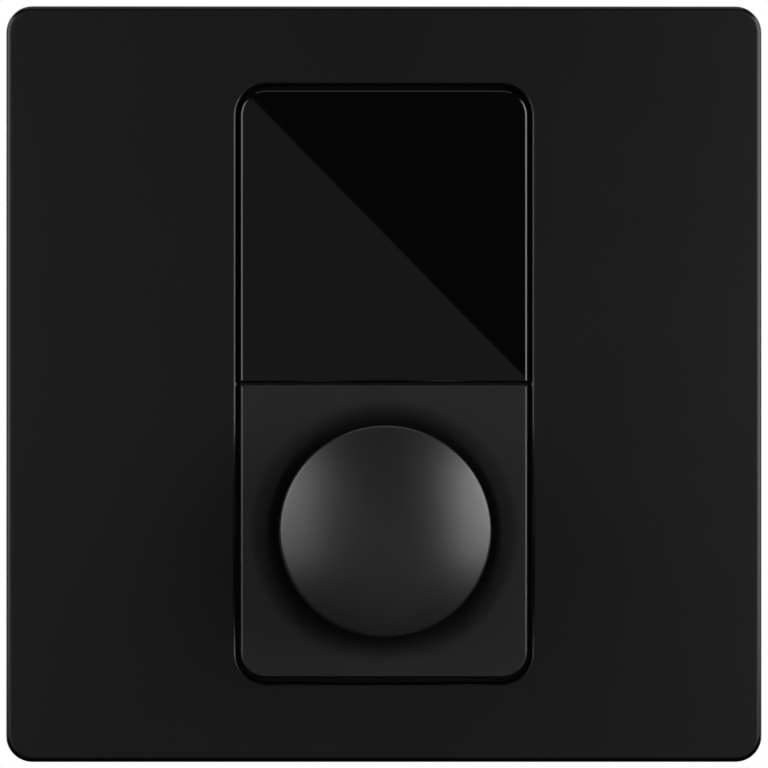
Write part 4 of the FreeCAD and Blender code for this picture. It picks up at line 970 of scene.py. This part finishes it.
class CONTROL_OT_stage(bpy.types.Operator):
    """Put up the floor, backdrop, lamps and camera"""

    bl_idname = "control.stage"
    bl_label = "Stage"

    def execute(self, context):
        settings = context.scene.control_stage
        self.camera(context, settings)
        self.world(context, settings)
        self.floor()
        self.lamps(settings)
        self.flats()
        self.mirror_card(settings)
        context.scene.view_settings.view_transform = "Standard"
        return {"FINISHED"}

    def camera(self, context, settings):
        """Square on to the cover, as the photograph was taken."""
        data = bpy.data.cameras.new("camera")
        data.sensor_width = 36.0
        data.lens = data.sensor_width * settings.distance / settings.view_width
        data.clip_start = 0.01
        data.clip_end = 50.0
        camera = bpy.data.objects.new("camera", data)
        target = Vector((0.0, COVER_LOW.y, 0.0))
        camera.location = target + Vector(
            (-settings.camera_left, -settings.distance, -settings.camera_low)
        )
        camera.rotation_euler = (target - camera.location).to_track_quat("-Z", "Y").to_euler()
        context.scene.collection.objects.link(camera)
        context.scene.camera = camera

    def world(self, context, settings):
        """White where the camera, gloss or glass looks past the object, dim elsewhere."""
        nodes = Nodes(bpy.data.worlds.new("studio"))
        level = settings.ambient + nodes.seen() * (1.0 - settings.ambient)
        inputs = {"Color": WHITE, "Strength": level}
        light = nodes.node("ShaderNodeBackground", None, inputs)
        nodes.node("ShaderNodeOutputWorld", None, {"Surface": light.outputs[0]})
        context.scene.world = nodes.owner

    def sheet(self, name, corners, nodes):
        """One flat face between corners, with a material's nodes."""
        mesh = bpy.data.meshes.new(name)
        mesh.from_pydata([tuple(c) for c in corners], [], [range(len(corners))])
        mesh.materials.append(nodes.owner)
        piece = bpy.data.objects.new(name, mesh)
        bpy.context.scene.collection.objects.link(piece)
        return piece

    def floor(self):
        """A pale floor well below the object. The camera, gloss and glass see it partly as
        white, so it looks pale without more light on the object and keeps its shadow."""
        nodes = Nodes(bpy.data.materials.new("floor"))
        paint = nodes.node("ShaderNodeBsdfDiffuse", None, {"Color": WHITE})
        glow = nodes.node("ShaderNodeEmission", None, {"Color": WHITE})
        share = nodes.seen() * FLOOR_GLOW
        inputs = {0: share, 1: paint.outputs[0], 2: glow.outputs[0]}
        mix = nodes.node("ShaderNodeMixShader", None, inputs)
        nodes.node("ShaderNodeOutputMaterial", None, {"Surface": mix.outputs[0]})
        sides = np.array([[-1, -1], [1, -1], [1, 1], [-1, 1]]) * FLOOR_REACH
        floor = self.sheet("floor", np.insert(sides, 2, FLOOR_LEVEL, axis=1), nodes)

    def lamps(self, settings):
        """Soft lamps that face the object: small ones near the front, large ones behind. A
        lamp's power is its brightness times pi times its area."""
        for name, (turn, rise, reach, width, height) in LAMPS.items():
            data = bpy.data.lights.new(f"lamp_{name}", "AREA")
            data.shape = "RECTANGLE"
            data.size = width
            data.size_y = height
            data.energy = getattr(settings, name) * math.pi * width * height
            lamp = bpy.data.objects.new(data.name, data)
            turned = Matrix.Rotation(math.radians(turn), 3, "Z")
            raised = Matrix.Rotation(math.radians(-rise), 3, "X")
            lamp.location = turned @ raised @ Vector((0.0, -reach, 0.0))
            lamp.rotation_euler = (-lamp.location).to_track_quat("-Z", "Y").to_euler()
            lamp.visible_camera = False
            bpy.context.scene.collection.objects.link(lamp)

    def card(self, name, corners, level=0.0):
        """A flat card that only shows in gloss; level is how bright it is."""
        nodes = Nodes(bpy.data.materials.new(name))
        light = nodes.node("ShaderNodeEmission", None, {"Color": WHITE, "Strength": level})
        nodes.node("ShaderNodeOutputMaterial", None, {"Surface": light.outputs[0]})
        card = self.sheet(name, corners, nodes)
        card.visible_camera = False
        card.visible_diffuse = False
        card.visible_shadow = False
        card.visible_transmission = False

    def flats(self):
        """Dark cards before, above, below and beside the object."""
        near, far, side, up, down = FLATS
        plan = [(-side, near), (side, near), (side, far), (-side, far)]
        for name, start in (("flat_front", 0), ("flat_right", 1), ("flat_left", 3)):
            a = plan[start]
            b = plan[(start + 1) % len(plan)]
            self.card(name, [(*a, down), (*b, down), (*b, up), (*a, up)])
        for name, level in (("flat_below", down), ("flat_above", up)):
            self.card(name, [(*corner, level) for corner in plan])

    def mirror_card(self, settings):
        """The card that the window mirrors in its lower left half."""
        eye = bpy.context.scene.camera.location
        start, end = [
            self.mirrored(eye, Vector((x, INSERT_LOW.y, z)), -CARD_AHEAD)
            for x, z in (SHEEN_START, SHEEN_END)
        ]
        along = (end - start).normalized()
        across = Vector((-abs(along.z), 0.0, -abs(along.x))) * CARD_REACH
        a = start - along * CARD_REACH
        b = end + along * CARD_REACH
        self.card("mirror_card", [a, b, b + across, a + across], settings.card)

    def mirrored(self, eye, spot, depth):
        """Where a ray from the eye lands at a depth after the window has mirrored it: its
        way across and up goes on, and its way in depth turns round."""
        ray = spot - eye
        return spot + Vector((ray.x, -ray.y, ray.z)) * (depth - spot.y) / -ray.y


class CONTROL_PT_sidebar(bpy.types.Panel):
    """Sizes, colours and the buttons that make each piece"""

    bl_label = "Wall volume controller"
    bl_space_type = "VIEW_3D"
    bl_region_type = "UI"
    bl_category = "Wall control"

    def draw(self, context):
        for name, (group, operator) in STEPS.items():
            column = self.layout.box().column()
            for key in group.__annotations__:
                column.prop(getattr(context.scene, name), key)
            column.operator(operator.bl_idname)


# The settings on the scene and the operator that reads them, in the order of the work
STEPS = {
    "control_cover": (CoverSizes, CONTROL_OT_cover),
    "control_carrier": (CarrierSizes, CONTROL_OT_carrier),
    "control_window": (WindowSizes, CONTROL_OT_window),
    "control_knob": (KnobSizes, CONTROL_OT_knob),
    "control_mouldings": (MouldingSizes, CONTROL_OT_mouldings),
    "control_colours": (Colours, CONTROL_OT_finishes),
    "control_stage": (StageSettings, CONTROL_OT_stage),
}


def register():
    """Adds the settings, the operators and the panel."""
    for name, (group, operator) in STEPS.items():
        bpy.utils.register_class(group)
        setattr(bpy.types.Scene, name, bpy.props.PointerProperty(type=group))
        bpy.utils.register_class(operator)
    bpy.utils.register_class(CONTROL_PT_sidebar)


def unregister():
    """Takes them away again."""
    bpy.utils.unregister_class(CONTROL_PT_sidebar)
    for name, (group, operator) in reversed(STEPS.items()):
        bpy.utils.unregister_class(operator)
        delattr(bpy.types.Scene, name)
        bpy.utils.unregister_class(group)


def main():
    """Makes every piece in order."""
    register()
    for _, operator in STEPS.values():
        family, name = operator.bl_idname.split(".")
        getattr(getattr(bpy.ops, family), name)()
    bpy.context.view_layer.update()


if __name__ == "__main__":
    main()
